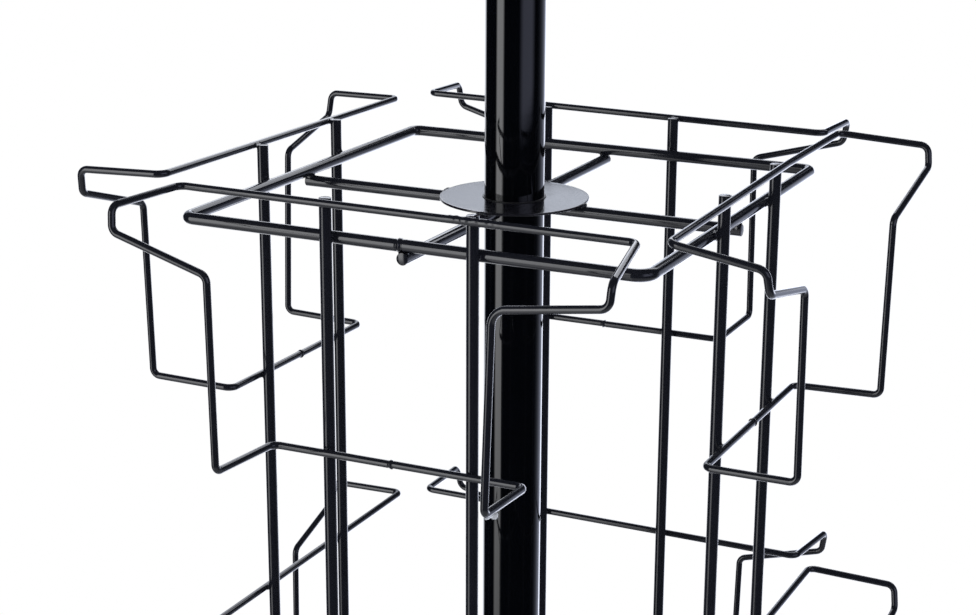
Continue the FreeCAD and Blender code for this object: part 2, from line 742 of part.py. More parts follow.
def bend_point(formed_like, hand, sign, point):
    along, up = num(point + "_along"), num(point + "_up")
    out = seat if point in ("rim", "heel") else num(point + "_out")
    if formed_like:
        stem = f"{formed_like}_{hand}_{point}_"
        along += num(stem + "along")
        out += num(stem + "out")
        up += num(stem + "up")
    return V(sign * along, -out, up)


def pocket_path(formed_like):
    """Bend points of a pocket and their bend radii, clockwise from the left heel as seen
    from outside. x runs along the side, -y points out of the rack, z is up from the
    tier's datum."""
    left, right = ([bend_point(formed_like, hand, sign, point) for point in POINTS]
                   for hand, sign in HALVES)
    left_bends = [num("pocket_knee_bend" if point == "knee" else "pocket_bend")
                  for point in POINTS]
    right_bends = list(left_bends)
    if formed_like == "front":
        right_bends[POINTS.index("elbow")] = num("front_elbow_bend")
    # Where a rim corner stands off the seat, the wire springs out just past the upright.
    kinks = []
    for sign, rim, other in ((-1, left[0], right[0]), (1, right[0], left[0])):
        if abs(rim.y + seat) > SEAT_TOLERANCE:
            x = sign * (num("upright_along") + num("kink_past_upright"))
            share = (x - other.x) / (rim.x - other.x)
            kinks.append(V(x, -seat, other.z + (rim.z - other.z) * share))
    points = left[::-1] + kinks + right
    bends = left_bends[::-1] + [num("kink_bend")] * len(kinks) + right_bends
    return points, bends


# The top pockets have their own forming, the bottom left one is formed like the right one,
# and all others are nominal.
FORMED_LIKE = {("top", side): side for side, angle in SIDES}
FORMED_LIKE["bottom", "left"] = "right"


def build_pocket(tier, level, side, angle):
    points, bends = pocket_path(FORMED_LIKE.get((level, side)))
    wire = doc.addObject("Part::Feature", f"Pocket_{level}_{side}")
    wire.Shape = bent_loop(points, bends, num("pocket_wire_radius"))
    datum = V(0, 0, num("ring_top_z") - tier * num("tier_pitch"))
    wire.Placement = FreeCAD.Placement(datum, about_z(angle + 90.0))
    keep(wire, f"pocket_{level}_{side}")


for tier, level in enumerate(("top", "middle", "bottom")):
    for side, angle in SIDES:
        build_pocket(tier, level, side, angle)

# ---------------------------------------------------------------- checks and export
doc.recompute()
faults = []
for obj in doc.Objects:
    if "Invalid" in obj.State or "Error" in obj.State:
        faults.append(f"{obj.Name}: {obj.State}")
for piece in PIECES:
    shape = piece.Shape
    if shape.isNull() or not shape.isValid() or not shape.Solids:
        faults.append(f"{piece.Label}: bad shape")
if len({piece.Label for piece in PIECES}) != len(PIECES):
    faults.append("two pieces share a label")
if faults:
    raise RuntimeError("; ".join(faults))
os.makedirs("parts", exist_ok=True)
for piece in PIECES:
    piece.Shape.exportStep(os.path.join("parts", piece.Label + ".step"))
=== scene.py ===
"""Rotating display rack: a wire cage with pockets on a glossy pole, on a four-leg base.

The pole stands on the Z axis, the floor is z = 0, the front faces -Y and the right side +X.
Sizes are in mm and become metres when a mesh is made; the floor, lights and camera are in metres.
"""

import itertools
import math

import bpy
import numpy as np
from mathutils import Matrix, Vector

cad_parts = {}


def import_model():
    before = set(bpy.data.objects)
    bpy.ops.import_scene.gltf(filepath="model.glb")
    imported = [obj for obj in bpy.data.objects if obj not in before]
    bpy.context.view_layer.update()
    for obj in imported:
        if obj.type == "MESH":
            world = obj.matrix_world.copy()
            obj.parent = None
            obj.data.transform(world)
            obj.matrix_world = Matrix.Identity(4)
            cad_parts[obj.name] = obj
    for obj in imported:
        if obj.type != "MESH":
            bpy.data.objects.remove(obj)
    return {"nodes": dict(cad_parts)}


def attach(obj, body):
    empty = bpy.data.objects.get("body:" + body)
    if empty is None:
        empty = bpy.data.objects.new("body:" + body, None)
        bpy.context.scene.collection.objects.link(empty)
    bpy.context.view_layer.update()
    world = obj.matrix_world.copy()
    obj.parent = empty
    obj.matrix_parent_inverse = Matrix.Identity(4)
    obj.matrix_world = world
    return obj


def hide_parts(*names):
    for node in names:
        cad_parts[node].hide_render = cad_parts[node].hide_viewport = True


CAD_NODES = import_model()["nodes"]
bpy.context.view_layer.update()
MM = 0.001

# ------------------------------------------------------------------ driving sizes (mm)
GAP = 0.02                            # clearance left between touching parts
WIRE, POCKET_WIRE = 4.95, 3.05        # wire radii
WIRE_SEGS = 48

HUB_R, HUB_FLOOR = 31.75, 20.0
POLE_R, POLE_LOW, POLE_TOP = 25.4, HUB_FLOOR + GAP, 1470.0

RING_TOP, RING_LOW = 1180.0, 176.35   # heights of the two square rings
RING_HALF = 199.3                     # half the ring's width, on the wire's centre
RING_BEND, WIDE_BEND = 8.5, 12.0      # corner radii; the wide one is at one top ring corner

UPRIGHT_ALONG = 63.2                  # from the middle of a side, to the left and right
UPRIGHT_OUT = RING_HALF + 2 * WIRE + GAP
UPRIGHT_LOW, UPRIGHT_HIGH = 168.35, 1213.2

SPOKE_IN, SPOKE_OUT = 36.0, 203.0
SPOKE_DROP = 2 * WIRE + GAP           # spokes lie under their ring

DISC_R, DISC_BORE = 63.5, 26.6
TOP_DISC = (RING_TOP - WIRE, RING_TOP - WIRE + 2.0)              # low and high faces
LOW_DISC_TOP = RING_LOW - SPOKE_DROP - WIRE - GAP
LOW_DISC = (LOW_DISC_TOP - 3.0, LOW_DISC_TOP)

RACE_THICK, RACE_SPACE = 3.5, 3.6     # bearing washers and the space between them
UPPER_RACE_LOW = LOW_DISC[0] - GAP - RACE_THICK
BALL_Z = UPPER_RACE_LOW - RACE_SPACE / 2
BALL_CIRCLE = 33.0

# Outward directions, degrees about Z from +X
SIDES = {"front": -90.0, "right": 0.0, "back": 90.0, "left": 180.0}
LEGS = {"front_right": -45.0, "back_right": 45.0, "back_left": 135.0, "front_left": -135.0}

# ------------------------------------------------------------------ pocket wire (mm)
TIERS = ("top", "middle", "bottom")
TIER_PITCH = 411.4
SEAT = UPRIGHT_OUT + WIRE + POCKET_WIRE + GAP    # where the pocket lies on the uprights

# Corners of one half of the loop, from the rim over the front and back under the pocket:
# (along the side, out from the pole, up from the tier), bend radius
CORNERS = {
    "rim": ((196.7, SEAT, 32.04), 8.0),
    "horn": ((202.6, 296.9, 27.52), 8.0),
    "tip": ((198.9, 299.85, 6.35), 8.0),
    "elbow": ((116.6, 295.5, -15.17), 8.0),
    "knee": ((113.4, 295.3, -171.45), 6.5),
    "heel": ((111.8, SEAT, -174.07), 8.0),
}
LEFT_RIM, RIGHT_RIM = 5, -6           # places in the chain of corners, which runs heel to heel
FRONT_ELBOW, FRONT_ELBOW_BEND = 9, 14.0   # right elbow of the front shape is bent wider
KINK_ALONG, KINK_BEND = UPRIGHT_ALONG + 7.0, 60.0

# Uneven forming: (along, out, up) added to each corner in the order above,
# first for the left half and then for the right half
FORMING = {
    "front": (
        ((-6.08, 0, -0.87), (-3.31, -0.41, 3.14), (-1.09, -0.25, 4.86),
         (0.01, 0.01, 0.41), (1.07, 0.16, 0.34), (-0.94, 0, 0.78)),
        ((1.2, 0, -2.6), (9, 0.37, -6.2), (11.49, -0.7, -3.14),
         (3.37, -0.2, 5.09), (1.41, -0.03, 5.75), (-0.01, 0, 2.29))),
    "right": (
        ((9.4, 0, -3.3), (4.56, -5.94, -9.8), (4.3, -7.0, -7.2),
         (3.5, -2.05, -1.94), (2.55, -1.62, -0.67), (0.7, 0, 0.43)),
        ((6.41, 4.2, 2.84), (5.24, 3.54, 2.49), (5.53, 2.89, 5.77),
         (1.59, 0.88, -1.31), (0.59, 0, 0.33), (4.12, 0, -0.04))),
    "back": (
        ((6.18, 0, -1.76), (0.04, 0.06, -0.5), (-0.58, -0.05, 0.08),
         (-2.44, -0.12, -0.7), (2.67, 0.17, -0.29), (0.59, 0, -0.99)),
        ((-6.1, 0, 2), (-2.2, 0.29, 1.04), (-0.66, 0.16, 0.98),
         (-0.2, 0.07, 0.71), (0, 0, 0), (0, 0, -1.39))),
    "left": (
        ((0.27, 0, -2.34), (3.87, -1.05, -0.46), (5.5, -1.6, -1.78),
         (2.62, -0.61, -0.01), (-0.24, -0.03, -1.98), (5.84, 0, -2.83)),
        ((5.82, 0, 2.14), (-0.21, 0.5, 3.27), (-1.21, 0.31, 3.04),
         (2.29, 0.78, -0.3), (1.38, 0.73, -0.54), (-1.11, 0, -0.09))),
}
# Pockets that are formed unevenly, and the shape each one takes; the rest are even
FORMED_LIKE = {("top", side): side for side in SIDES}
FORMED_LIKE["bottom", "left"] = "right"

# Butt joints: how far along the wire's run each lies, and the shape of the joint
RING_JOINTS = {"top": -3.0, "bottom": 12.0}
TOP_POCKET_JOINTS = {"front": -3.0, "right": 6.0, "back": 4.0, "left": -5.0}
RING_JOINT = dict(swell=0.17, swell_width=0.95, neck=0.05, neck_place=2.3, neck_width=0.7,
                  step=0.32, steepness=3.2, fade=26.0)
POCKET_JOINT = dict(swell=0.26, swell_width=0.62, neck=0.07, neck_place=1.5, neck_width=0.5,
                    step=0.3, steepness=4.0, fade=14.0)


# ------------------------------------------------------------------ shader helpers
class Nodes:
    """Short way to write the node tree of a material or world."""

    def __init__(self, owner):
        owner.use_nodes = True
        self.tree = owner.node_tree
        self.tree.nodes.clear()

    def fill(self, node, inputs):
        """Link sockets and set values; None leaves an input alone."""
        for key, value in inputs.items():
            if hasattr(value, "is_output"):
                self.tree.links.new(value, node.inputs[key])
            elif value is not None:
                node.inputs[key].default_value = value

    def new(self, kind, inputs=None, **props):
        node = self.tree.nodes.new(kind)
        for key, value in props.items():
            setattr(node, key, value)
        self.fill(node, inputs or {})
        return node

    def calc(self, operation, first, second=None):
        return self.new("ShaderNodeMath", {0: first, 1: second}, operation=operation).outputs[0]

    def times(self, first, *others):
        for other in others:
            first = self.calc("MULTIPLY", first, other)
        return first

    def remap(self, x, low, high, start, end, kind="LINEAR"):
        """From start at low to end at high."""
        inputs = {"Value": x, "From Min": low, "From Max": high, "To Min": start, "To Max": end}
        return self.new("ShaderNodeMapRange", inputs, interpolation_type=kind).outputs[0]

    def smooth(self, x, low, high, start=0.0, end=1.0):
        return self.remap(x, low, high, start, end, kind="SMOOTHSTEP")

    def window(self, x, low, high, soft):
        """1 between low and high, 0 outside, with soft edges."""
        rise = self.smooth(x, low - soft, low + soft)
        fall = self.smooth(x, high - soft, high + soft, start=1.0, end=0.0)
        return self.times(rise, fall)

    def mix(self, factor, first, second):
        inputs = {0: factor, 6: first, 7: second}
        return self.new("ShaderNodeMix", inputs, data_type="RGBA").outputs[2]

    def noise(self, where, scale, detail=2.0, rough=0.5, distortion=0.0):
        inputs = {"Vector": where, "Scale": scale, "Detail": detail, "Roughness": rough,
                  "Distortion": distortion}
        return self.new("ShaderNodeTexNoise", inputs).outputs["Fac"]

    def bump(self, height, distance):
        inputs = {"Strength": 1.0, "Distance": distance, "Height": height}
        return self.new("ShaderNodeBump", inputs).outputs["Normal"]

    def vector(self, operation, inputs):
        return self.new("ShaderNodeVectorMath", inputs, operation=operation).outputs[0]


MATERIALS = {}


def principled(name):
    """New material: its nodes, its shader and the object coordinates."""
    MATERIALS[name] = bpy.data.materials.new(name)
    t = Nodes(MATERIALS[name])
    shader = t.new("ShaderNodeBsdfPrincipled")
    t.new("ShaderNodeOutputMaterial", {0: shader.outputs[0]})
    return t, shader, t.new("ShaderNodeTexCoord").outputs["Object"]


def opaque(colour):
    return colour + (1.0,)


def coated(name, colour, tint, rough, spread, peel, peel_scale, ior=1.5, speck=0.0, cloud=0.0):
    """Powder coat or enamel: orange peel, patches of gloss, fine dust on upward faces.

    tint is the colour of the patches, spread their change of roughness, peel the depth of
    the orange peel, speck extra dust and cloud extra roughness in soft clouds."""
    t, shader, where = principled(name)
    patch = t.noise(where, scale=38.0, detail=4.0, rough=0.6, distortion=0.4)
    fine = t.noise(where, scale=900.0)
    normal = t.new("ShaderNodeNewGeometry").outputs["Normal"]
    up = t.new("ShaderNodeSeparateXYZ", {0: normal}).outputs[2]
    specks = t.noise(where, scale=260.0, detail=5.0, rough=0.7)
    dust = t.times(t.smooth(up, low=0.5, high=1.0), t.smooth(specks, low=0.5, high=0.78))
    dust_colour, least_dust, dust_rough, least_rough = (0.42, 0.42, 0.44), 0.012, 0.05, 0.02

    coat = t.mix(patch, opaque(colour), opaque(tint))
    gloss = t.calc("ADD", t.remap(patch, 0.3, 0.7, start=rough - spread, end=rough + spread),
                   t.times(dust, dust_rough))
    if cloud:
        clouds = t.noise(where, scale=55.0, detail=3.0, rough=0.55, distortion=1.2)
        gloss = t.calc("ADD", gloss, t.times(t.smooth(clouds, low=0.38, high=0.66), cloud))
    fine_share = 0.12
    height = t.calc("ADD", t.noise(where, scale=peel_scale, detail=1.5, rough=0.45),
                    t.times(fine, fine_share))
    t.fill(shader, {
        "Base Color": t.mix(t.times(dust, least_dust + speck), coat, opaque(dust_colour)),
        "Roughness": t.calc("MAXIMUM", gloss, least_rough),
        "IOR": ior,
        "Normal": t.bump(height, peel)})


def plastic(name, colour, rough, grain, grain_scale):
    """Moulded or turned black plastic with a fine tooled grain of the given depth."""
    t, shader, where = principled(name)
    tooling = t.noise(where, scale=grain_scale, detail=3.0, rough=0.6)
    patch = t.noise(where, scale=60.0, detail=3.0)
    lift = 1.7    # how much lighter the pale patches are
    t.fill(shader, {
        "Base Color": t.mix(patch, opaque(colour), opaque(tuple(c * lift for c in colour))),
        "Roughness": t.remap(tooling, 0.3, 0.7, start=rough - 0.06, end=rough + 0.08),
        "IOR": 1.48,
        "Normal": t.bump(tooling, grain)})


def metal(name, colour, other, rough, spread, stretch, scale, depth):
    """Bare or plated metal with turning or grinding marks, stretched along Z."""
    t, shader, where = principled(name)
    marks_at = t.new("ShaderNodeMapping", {"Vector": where, "Scale": (1.0, 1.0, stretch)})
    lines = t.noise(marks_at.outputs[0], scale=scale, detail=4.0, rough=0.6)
    patch = t.noise(where, scale=90.0, detail=4.0, rough=0.6, distortion=0.6)
    t.fill(shader, {
        "Base Color": t.mix(patch, opaque(colour), opaque(other)),
        "Metallic": 1.0,
        "Roughness": t.remap(lines, 0.3, 0.7, start=rough - spread, end=rough + spread),
        "Normal": t.bump(lines, depth)})


coated("pole_enamel", colour=(0.0005, 0.0007, 0.0013), tint=(0.0009, 0.0011, 0.0019),
       rough=0.045, spread=0.012, peel=0.00001, peel_scale=120.0, ior=1.52)
coated("wire_powder_coat", colour=(0.0060, 0.0068, 0.0100), tint=(0.0088, 0.0095, 0.0138),
       rough=0.115, spread=0.025, peel=0.000012, peel_scale=160.0, ior=1.55)
coated("disc_powder_coat", colour=(0.006, 0.006, 0.009), tint=(0.009, 0.009, 0.012),
       rough=0.135, spread=0.02, peel=0.00004, peel_scale=60.0, ior=1.62, speck=0.012,
       cloud=0.05)
# pale grey for the black coat's drip: a painted highlight
coated("drip_painted_highlight", colour=(0.34, 0.36, 0.40), tint=(0.46, 0.48, 0.52),
       rough=0.10, spread=0.03, peel=0.00002, peel_scale=180.0, ior=1.6)
coated("base_powder_coat", colour=(0.003, 0.003, 0.0042), tint=(0.0052, 0.0052, 0.0066),
       rough=0.22, spread=0.04, peel=0.00012, peel_scale=430.0, ior=1.55, speck=0.02)

plastic("black_plastic", colour=(0.009, 0.009, 0.010), rough=0.36, grain=0.00006,
        grain_scale=1500.0)
plastic("black_nylon", colour=(0.010, 0.010, 0.011), rough=0.42, grain=0.00005,
        grain_scale=1100.0)
plastic("pad_nylon", colour=(0.013, 0.013, 0.014), rough=0.45, grain=0.00009,
        grain_scale=1300.0)

metal("zinc_steel", colour=(0.58, 0.60, 0.63), other=(0.70, 0.69, 0.64), rough=0.24,
      spread=0.07, stretch=5.0, scale=420.0, depth=0.00003)
metal("black_oxide_steel", colour=(0.045, 0.044, 0.047), other=(0.075, 0.073, 0.074),
      rough=0.33, spread=0.07, stretch=6.0, scale=500.0, depth=0.00003)
metal("bearing_steel", colour=(0.52, 0.52, 0.54), other=(0.62, 0.61, 0.60), rough=0.16,
      spread=0.05, stretch=9.0, scale=600.0, depth=0.00001)
metal("polished_balls", colour=(0.78, 0.78, 0.80), other=(0.82, 0.82, 0.84), rough=0.04,
      spread=0.015, stretch=1.0, scale=900.0, depth=0.0)
metal("retainer_brass", colour=(0.68, 0.50, 0.21), other=(0.78, 0.60, 0.30), rough=0.22,
      spread=0.06, stretch=3.0, scale=520.0, depth=0.00002)


# ------------------------------------------------------------------ mesh helpers
# A shell is (vertices in mm, faces).
def moved(shell, turn=0.0, move=(0, 0, 0)):
    """Shell turned about Z by some degrees, then moved."""
    verts = np.asarray(shell[0], float)
    if turn:
        cosine, sine = math.cos(math.radians(turn)), math.sin(math.radians(turn))
        x, y, z = verts.T
        verts = np.column_stack((x * cosine - y * sine, x * sine + y * cosine, z))
    return verts + np.asarray(move, float), shell[1]


def set_material(obj, name):
    obj.data.materials.clear()
    obj.data.materials.append(MATERIALS[name])


def make_part(name, slot, body, shells, sharp, replaces=None):
    """One object from a list of shells; edges over `sharp` degrees stay sharp."""
    verts, faces, start = [], [], 0
    for shell_verts, shell_faces in shells:
        verts.append(np.asarray(shell_verts, float))
        faces += [tuple(int(i) + start for i in face) for face in shell_faces]
        start += len(shell_verts)
    mesh = bpy.data.meshes.new(name)
    mesh.from_pydata([tuple(p) for p in np.concatenate(verts) * MM], [], faces)
    mesh.validate()
    mesh.shade_smooth()
    mesh.set_sharp_from_angle(angle=math.radians(sharp))
    obj = bpy.data.objects.new(name, mesh)
    set_material(obj, slot)
    bpy.context.scene.collection.objects.link(obj)
    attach(obj, body)
    if replaces:
        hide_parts(replaces)
    return obj


def lathe(profile, segs=160, wobble=None):
    """Closed (radius, height) loop turned about Z; points of radius 0 close as poles.

    wobble(radius, angle) lifts the surface."""
    verts, rows = [], []
    for r, z in profile:
        if r < 1e-6:
            rows.append([len(verts)])
            verts.append((0.0, 0.0, z))
            continue
        rows.append(list(range(len(verts), len(verts) + segs)))
        for k in range(segs):
            angle = 2 * math.pi * k / segs
            lift = wobble(r, angle) if wobble else 0.0
            verts.append((r * math.cos(angle), r * math.sin(angle), z + lift))
    faces = []
    for i, row in enumerate(rows):
        after = rows[(i + 1) % len(rows)]
        if len(row) == 1 and len(after) == 1:
            continue
        for k in range(segs):
            j = (k + 1) % segs
            if len(row) == 1:
                faces.append((row[0], after[j], after[k]))
            elif len(after) == 1:
                faces.append((row[k], row[j], after[0]))
            else:
                faces.append((row[k], row[j], after[j], after[k]))
    return verts, faces


def rounded(points, steps=5):
    """Closed profile of (r, z) or (r, z, fillet) corners, with the fillets rounded."""
    out = []
    for i, point in enumerate(points):
        corner = np.array(point[:2], float)
        fillet = point[2] if len(point) > 2 else 0.0
        if fillet <= 0:
            out.append(tuple(corner))
            continue
        before = np.array(points[i - 1][:2], float) - corner
        after = np.array(points[(i + 1) % len(points)][:2], float) - corner
        before_length, after_length = np.linalg.norm(before), np.linalg.norm(after)
        before, after = before / before_length, after / after_length
        half = math.acos(max(-1, min(1, float(before @ after)))) / 2
        reach = min(fillet / math.tan(half), before_length * 0.49, after_length * 0.49)
        start, end = corner + before * reach, corner + after * reach
        for k in range(steps + 1):
            s = k / steps
            out.append(tuple((1 - s) ** 2 * start + 2 * s * (1 - s) * corner + s * s * end))
    return out


def band(first, second, segs):
    """Quads between two rings of vertices that start at the given indices."""
    return [(first + k, second + k, second + (k + 1) % segs, first + (k + 1) % segs)
            for k in range(segs)]


def fan_and_bands(rings, segs):
    """Triangles from vertex 0 to the first ring, then quads from ring to ring."""
    faces = [(0, 1 + k, 1 + (k + 1) % segs) for k in range(segs)]
    for i in range(rings - 1):
        faces += band(1 + i * segs, 1 + (i + 1) * segs, segs)
    return faces


def column_faces(rows, segs):
    """Side quads and end caps of a column of rings, stacked upward."""
    faces = []
    for low in range(0, (rows - 1) * segs, segs):
        for k in range(segs):
            j = (k + 1) % segs
            faces.append((low + k, low + j, low + segs + j, low + segs + k))
    faces.append(tuple(range(segs))[::-1])
    faces.append(tuple((rows - 1) * segs + k for k in range(segs)))
    return faces


def ball(radius, segs=40, rows=24):
    verts = [(0, 0, radius)]
    for i in range(1, rows):
        tilt = math.pi * i / rows
        for k in range(segs):
            turn = 2 * math.pi * k / segs
            verts.append((radius * math.sin(tilt) * math.cos(turn),
                          radius * math.sin(tilt) * math.sin(turn), radius * math.cos(tilt)))
    verts.append((0, 0, -radius))
    faces = fan_and_bands(rows - 1, segs)
    last, ring = len(verts) - 1, 1 + (rows - 2) * segs
    faces += [(last, ring + (k + 1) % segs, ring + k) for k in range(segs)]
    return np.array(verts), faces


def unit(vector):
    return vector / np.linalg.norm(vector)


def rotate_about(vector, axis, angle):
    axis = unit(axis)
    cosine, sine = math.cos(angle), math.sin(angle)
    return (vector * cosine + np.cross(axis, vector) * sine
            + axis * (vector @ axis) * (1 - cosine))


def carry(vector, before, after):
    """Vector turned the way direction `before` turns into `after`."""
    axis = np.cross(before, after)
    size = np.linalg.norm(axis)
    if size <= 1e-9:
        return vector
    return rotate_about(vector, axis, math.atan2(size, float(before @ after)))


def sweep(path, radius, segs, closed=False, radii=None, chamfer=0.0, skin=None):
    """Round wire along a chain of points.

    radii scales it at each point, skin(points, normals) moves the surface outward."""
    p = np.asarray(path, float)
    n = len(p)
    # at each point the wire faces along the bisector of the two runs that meet there
    ahead = np.roll(p, -1, 0) - p
    behind = p - np.roll(p, 1, 0)
    ahead /= np.maximum(np.linalg.norm(ahead, axis=1, keepdims=True), 1e-9)
    behind /= np.maximum(np.linalg.norm(behind, axis=1, keepdims=True), 1e-9)
    along = ahead + behind
    if not closed:
        along[0], along[-1] = ahead[0], behind[-1]
    along /= np.linalg.norm(along, axis=1, keepdims=True)

    # one cross direction, carried along without twist
    first = np.array((0, 0, 1.0))
    if abs(first @ along[0]) > 0.9:
        first = np.array((1.0, 0, 0))
    x = unit(first - along[0] * (first @ along[0]))
    across = [x]
    for i in range(1, n):
        x = carry(x, along[i - 1], along[i])
        x = unit(x - along[i] * (x @ along[i]))
        across.append(x)
    across = np.array(across)
    if closed:
        # share out the twist left over where the loop closes
        x = carry(across[-1], along[-1], along[0])
        twist = math.atan2(float(np.cross(x, across[0]) @ along[0]), float(x @ across[0]))
        runs = np.linalg.norm(np.diff(p, axis=0), axis=1)
        length = np.concatenate(([0], np.cumsum(runs)))
        length = length / (length[-1] + np.linalg.norm(p[0] - p[-1]))
        across = np.array([rotate_about(across[i], along[i], twist * length[i])
                           for i in range(n)])
    over = np.cross(along, across)

    r = np.full(n, float(radius)) if radii is None else np.asarray(radii, float) * radius
    angles = np.arange(segs) * 2 * math.pi / segs
    normals = (across[:, None, :] * np.cos(angles)[None, :, None]
               + over[:, None, :] * np.sin(angles)[None, :, None])
    grid = p[:, None, :] + normals * r[:, None, None]
    if skin is not None:
        flat, flat_normals = grid.reshape(-1, 3), normals.reshape(-1, 3)
        grid = (flat + flat_normals * skin(flat, flat_normals)[:, None]).reshape(grid.shape)
    verts, faces = [grid.reshape(-1, 3)], []
    for i in range(n if closed else n - 1):
        faces += band(i * segs, ((i + 1) % n) * segs, segs)
    if closed:
        return verts[0], faces

    count = n * segs
    for end, outward in ((0, -1), (n - 1, 1)):
        ring = [end * segs + k for k in range(segs)]
        if chamfer:
            verts.append(p[end] + along[end] * outward * chamfer * 0.55
                         + (grid[end] - p[end]) * (1 - chamfer / radius))
            inner = [count + k for k in range(segs)]
            count += segs
            for k in range(segs):
                j = (k + 1) % segs
                quad = (ring[k], ring[j], inner[j], inner[k])
                faces.append(quad[::outward])
            ring = inner
        faces.append(tuple(ring[::outward]))
    return np.concatenate(verts), faces


def straight(start, end, runs):
    """Points from start to end that cut the way into equal runs."""
    start, end = np.asarray(start, float), np.asarray(end, float)
    return [start + (end - start) * (k / runs) for k in range(runs + 1)]


def bent_path(points, bends, stops, step):
    """Closed chain of straight runs joined by circular bends.

    stops is {run: shares of the run that get a point}, step the degrees per bend segment."""
    points = [np.asarray(q, float) for q in points]
    n = len(points)
    heading = [unit(points[(i + 1) % n] - points[i]) for i in range(n)]
    trim, arcs = [0.0] * n, [None] * n
    for i in range(n):
        before, after = heading[i - 1], heading[i]
        angle = math.acos(max(-1, min(1, float(before @ after))))
        if angle < 1e-4:
            continue
        trim[i] = bends[i] * math.tan(angle / 2)
        start = points[i] - before * trim[i]
        centre = start + unit(after - before * float(before @ after)) * bends[i]
        axis = np.cross(before, after)
        count = max(3, int(math.degrees(angle) / step))
        arcs[i] = [centre + rotate_about(start - centre, axis, angle * k / count)
                   for k in range(count + 1)]
    out = []
    for i in range(n):
        out += arcs[i] if arcs[i] is not None else [points[i]]
        j = (i + 1) % n
        start = points[i] + heading[i] * trim[i]
        end = points[j] - heading[j - 1] * trim[j]
        out += [start + (end - start) * share for share in sorted(stops.get(i, ()))]
    return np.array(out)


def on_side(angle, along, out, z):
    """Point on the side that faces `angle` degrees: along it, out from the pole, and up."""
    x, y = math.cos(math.radians(angle)), math.sin(math.radians(angle))
    return (out * x - along * y, out * y + along * x, z)


def hump(x, width):
    return np.exp(-(x / width) ** 2)


def logistic(x):
    return 1 / (1 + np.exp(-x))


def smooth_noise(points, scale, seed):
    """Sum of a few fixed sine waves: a smooth, repeatable bumpiness of about -1 to 1."""
    rng = np.random.default_rng(seed)
    out = np.zeros(len(points))
    for k in range(5):
        heading = unit(rng.normal(size=3))
        phase = rng.uniform(0, 6.28)
        out += np.sin(points @ heading * scale * (0.7 + 0.25 * k) + phase) / 3.2
    return out


# ------------------------------------------------------------------ weld metal
def surface_nets(field, low, high, counts):
    """Surface where field is zero, on a grid, pulled onto the surface afterwards."""
    low, high = np.asarray(low, float), np.asarray(high, float)
    ticks = [np.linspace(low[i], high[i], counts[i]) for i in range(3)]
    grid = np.stack(np.meshgrid(*ticks, indexing="ij"), -1)
    value = field(grid.reshape(-1, 3)).reshape(counts)
    inside = value < 0
    cell = (high - low) / (np.array(counts) - 1)
    cells = tuple(count - 1 for count in counts)

    # each cell's vertex is the mean of the crossings on its edges
    total, hits, edges = np.zeros(cells + (3,)), np.zeros(cells), []
    for axis in range(3):
        near, far = [slice(None)] * 3, [slice(None)] * 3
        near[axis], far[axis] = slice(0, -1), slice(1, None)
        near, far = tuple(near), tuple(far)
        cross = inside[near] != inside[far]
        fall = np.where(cross, value[near] - value[far], 1.0)
        place = grid[near].copy()
        place[..., axis] += np.where(cross, value[near] / fall, 0.0) * cell[axis]
        edges.append((cross, inside[near]))
        one, two = [i for i in range(3) if i != axis]
        for shift_one, shift_two in itertools.product((0, 1), repeat=2):
            part = [slice(None)] * 3
            part[one] = slice(shift_one, counts[one] - 1 + shift_one)
            part[two] = slice(shift_two, counts[two] - 1 + shift_two)
            part = tuple(part)
            total += place[part] * cross[part][..., None]
            hits += cross[part]
    used = hits > 0
    index = -np.ones(used.shape, int)
    index[used] = np.arange(int(used.sum()))
    verts = total[used] / hits[used][:, None]

    # each crossed edge gives a quad through the four cells around it
    faces = []
    for (cross, starts_inside), (one, two) in zip(edges, ((1, 2), (2, 0), (0, 1))):
        at = np.argwhere(cross)
        at = at[(at[:, one] > 0) & (at[:, two] > 0)
                & (at[:, one] < counts[one] - 1) & (at[:, two] < counts[two] - 1)]
        quads = []
        for shift_one, shift_two in ((-1, -1), (0, -1), (0, 0), (-1, 0)):
            corner = at.copy()
            corner[:, one] += shift_one
            corner[:, two] += shift_two
            quads.append(index[tuple(corner.T)])
        quads = np.stack(quads, 1)
        flip = ~starts_inside[tuple(at.T)]
        quads[flip] = quads[flip][:, ::-1]
        faces.append(quads)

    delta = 0.02
    for _ in range(3):
        off = field(verts)
        slope = np.stack([(field(verts + step) - field(verts - step)) / (2 * delta)
                          for step in np.eye(3) * delta], 1)
        steepness = np.maximum((slope * slope).sum(1), 1e-4)
        verts = verts - slope * (off / steepness)[:, None] * 0.9
    return verts, np.concatenate(faces)


def weld_patch(radius_z, radius_x, blend, seed, size, top=None):
    """Fused metal where a wire along z touches a wire along x; the contact normal is +y.

    The wires' axes are at y = -radius_z and y = radius_x. top is where the first one ends."""

    def wires(p):
        first = np.hypot(p[:, 0], p[:, 1] + radius_z) - radius_z
        if top is not None:
            first = np.maximum(first, p[:, 2] - top)
        return first, np.hypot(p[:, 2], p[:, 1] - radius_x) - radius_x

    def field(p):
        first, second = wires(p)
        reach = blend * (1 + 0.28 * smooth_noise(p, 1.1, seed))
        share = np.clip(reach - np.abs(first - second), 0, None) / reach
        return np.minimum(first, second) - share ** 3 * reach / 6.0 - 0.012

    verts, faces = surface_nets(field, (-size, -radius_z * 0.9 - 0.6, -size),
                                (size, radius_x * 0.9 + 0.6, size), (40, 30, 40))
    # keep only the metal that stands clear of the bare wires
    lifted = np.minimum(*wires(verts)) > 0.022
    faces = faces[lifted[faces].any(1)]
    used = np.unique(faces)
    index = -np.ones(len(verts), int)
    index[used] = np.arange(len(used))
    return verts[used], index[faces]


def placed(verts, origin, x_axis, y_axis, z_axis):
    return verts @ np.array([x_axis, y_axis, z_axis], float) + np.asarray(origin, float)


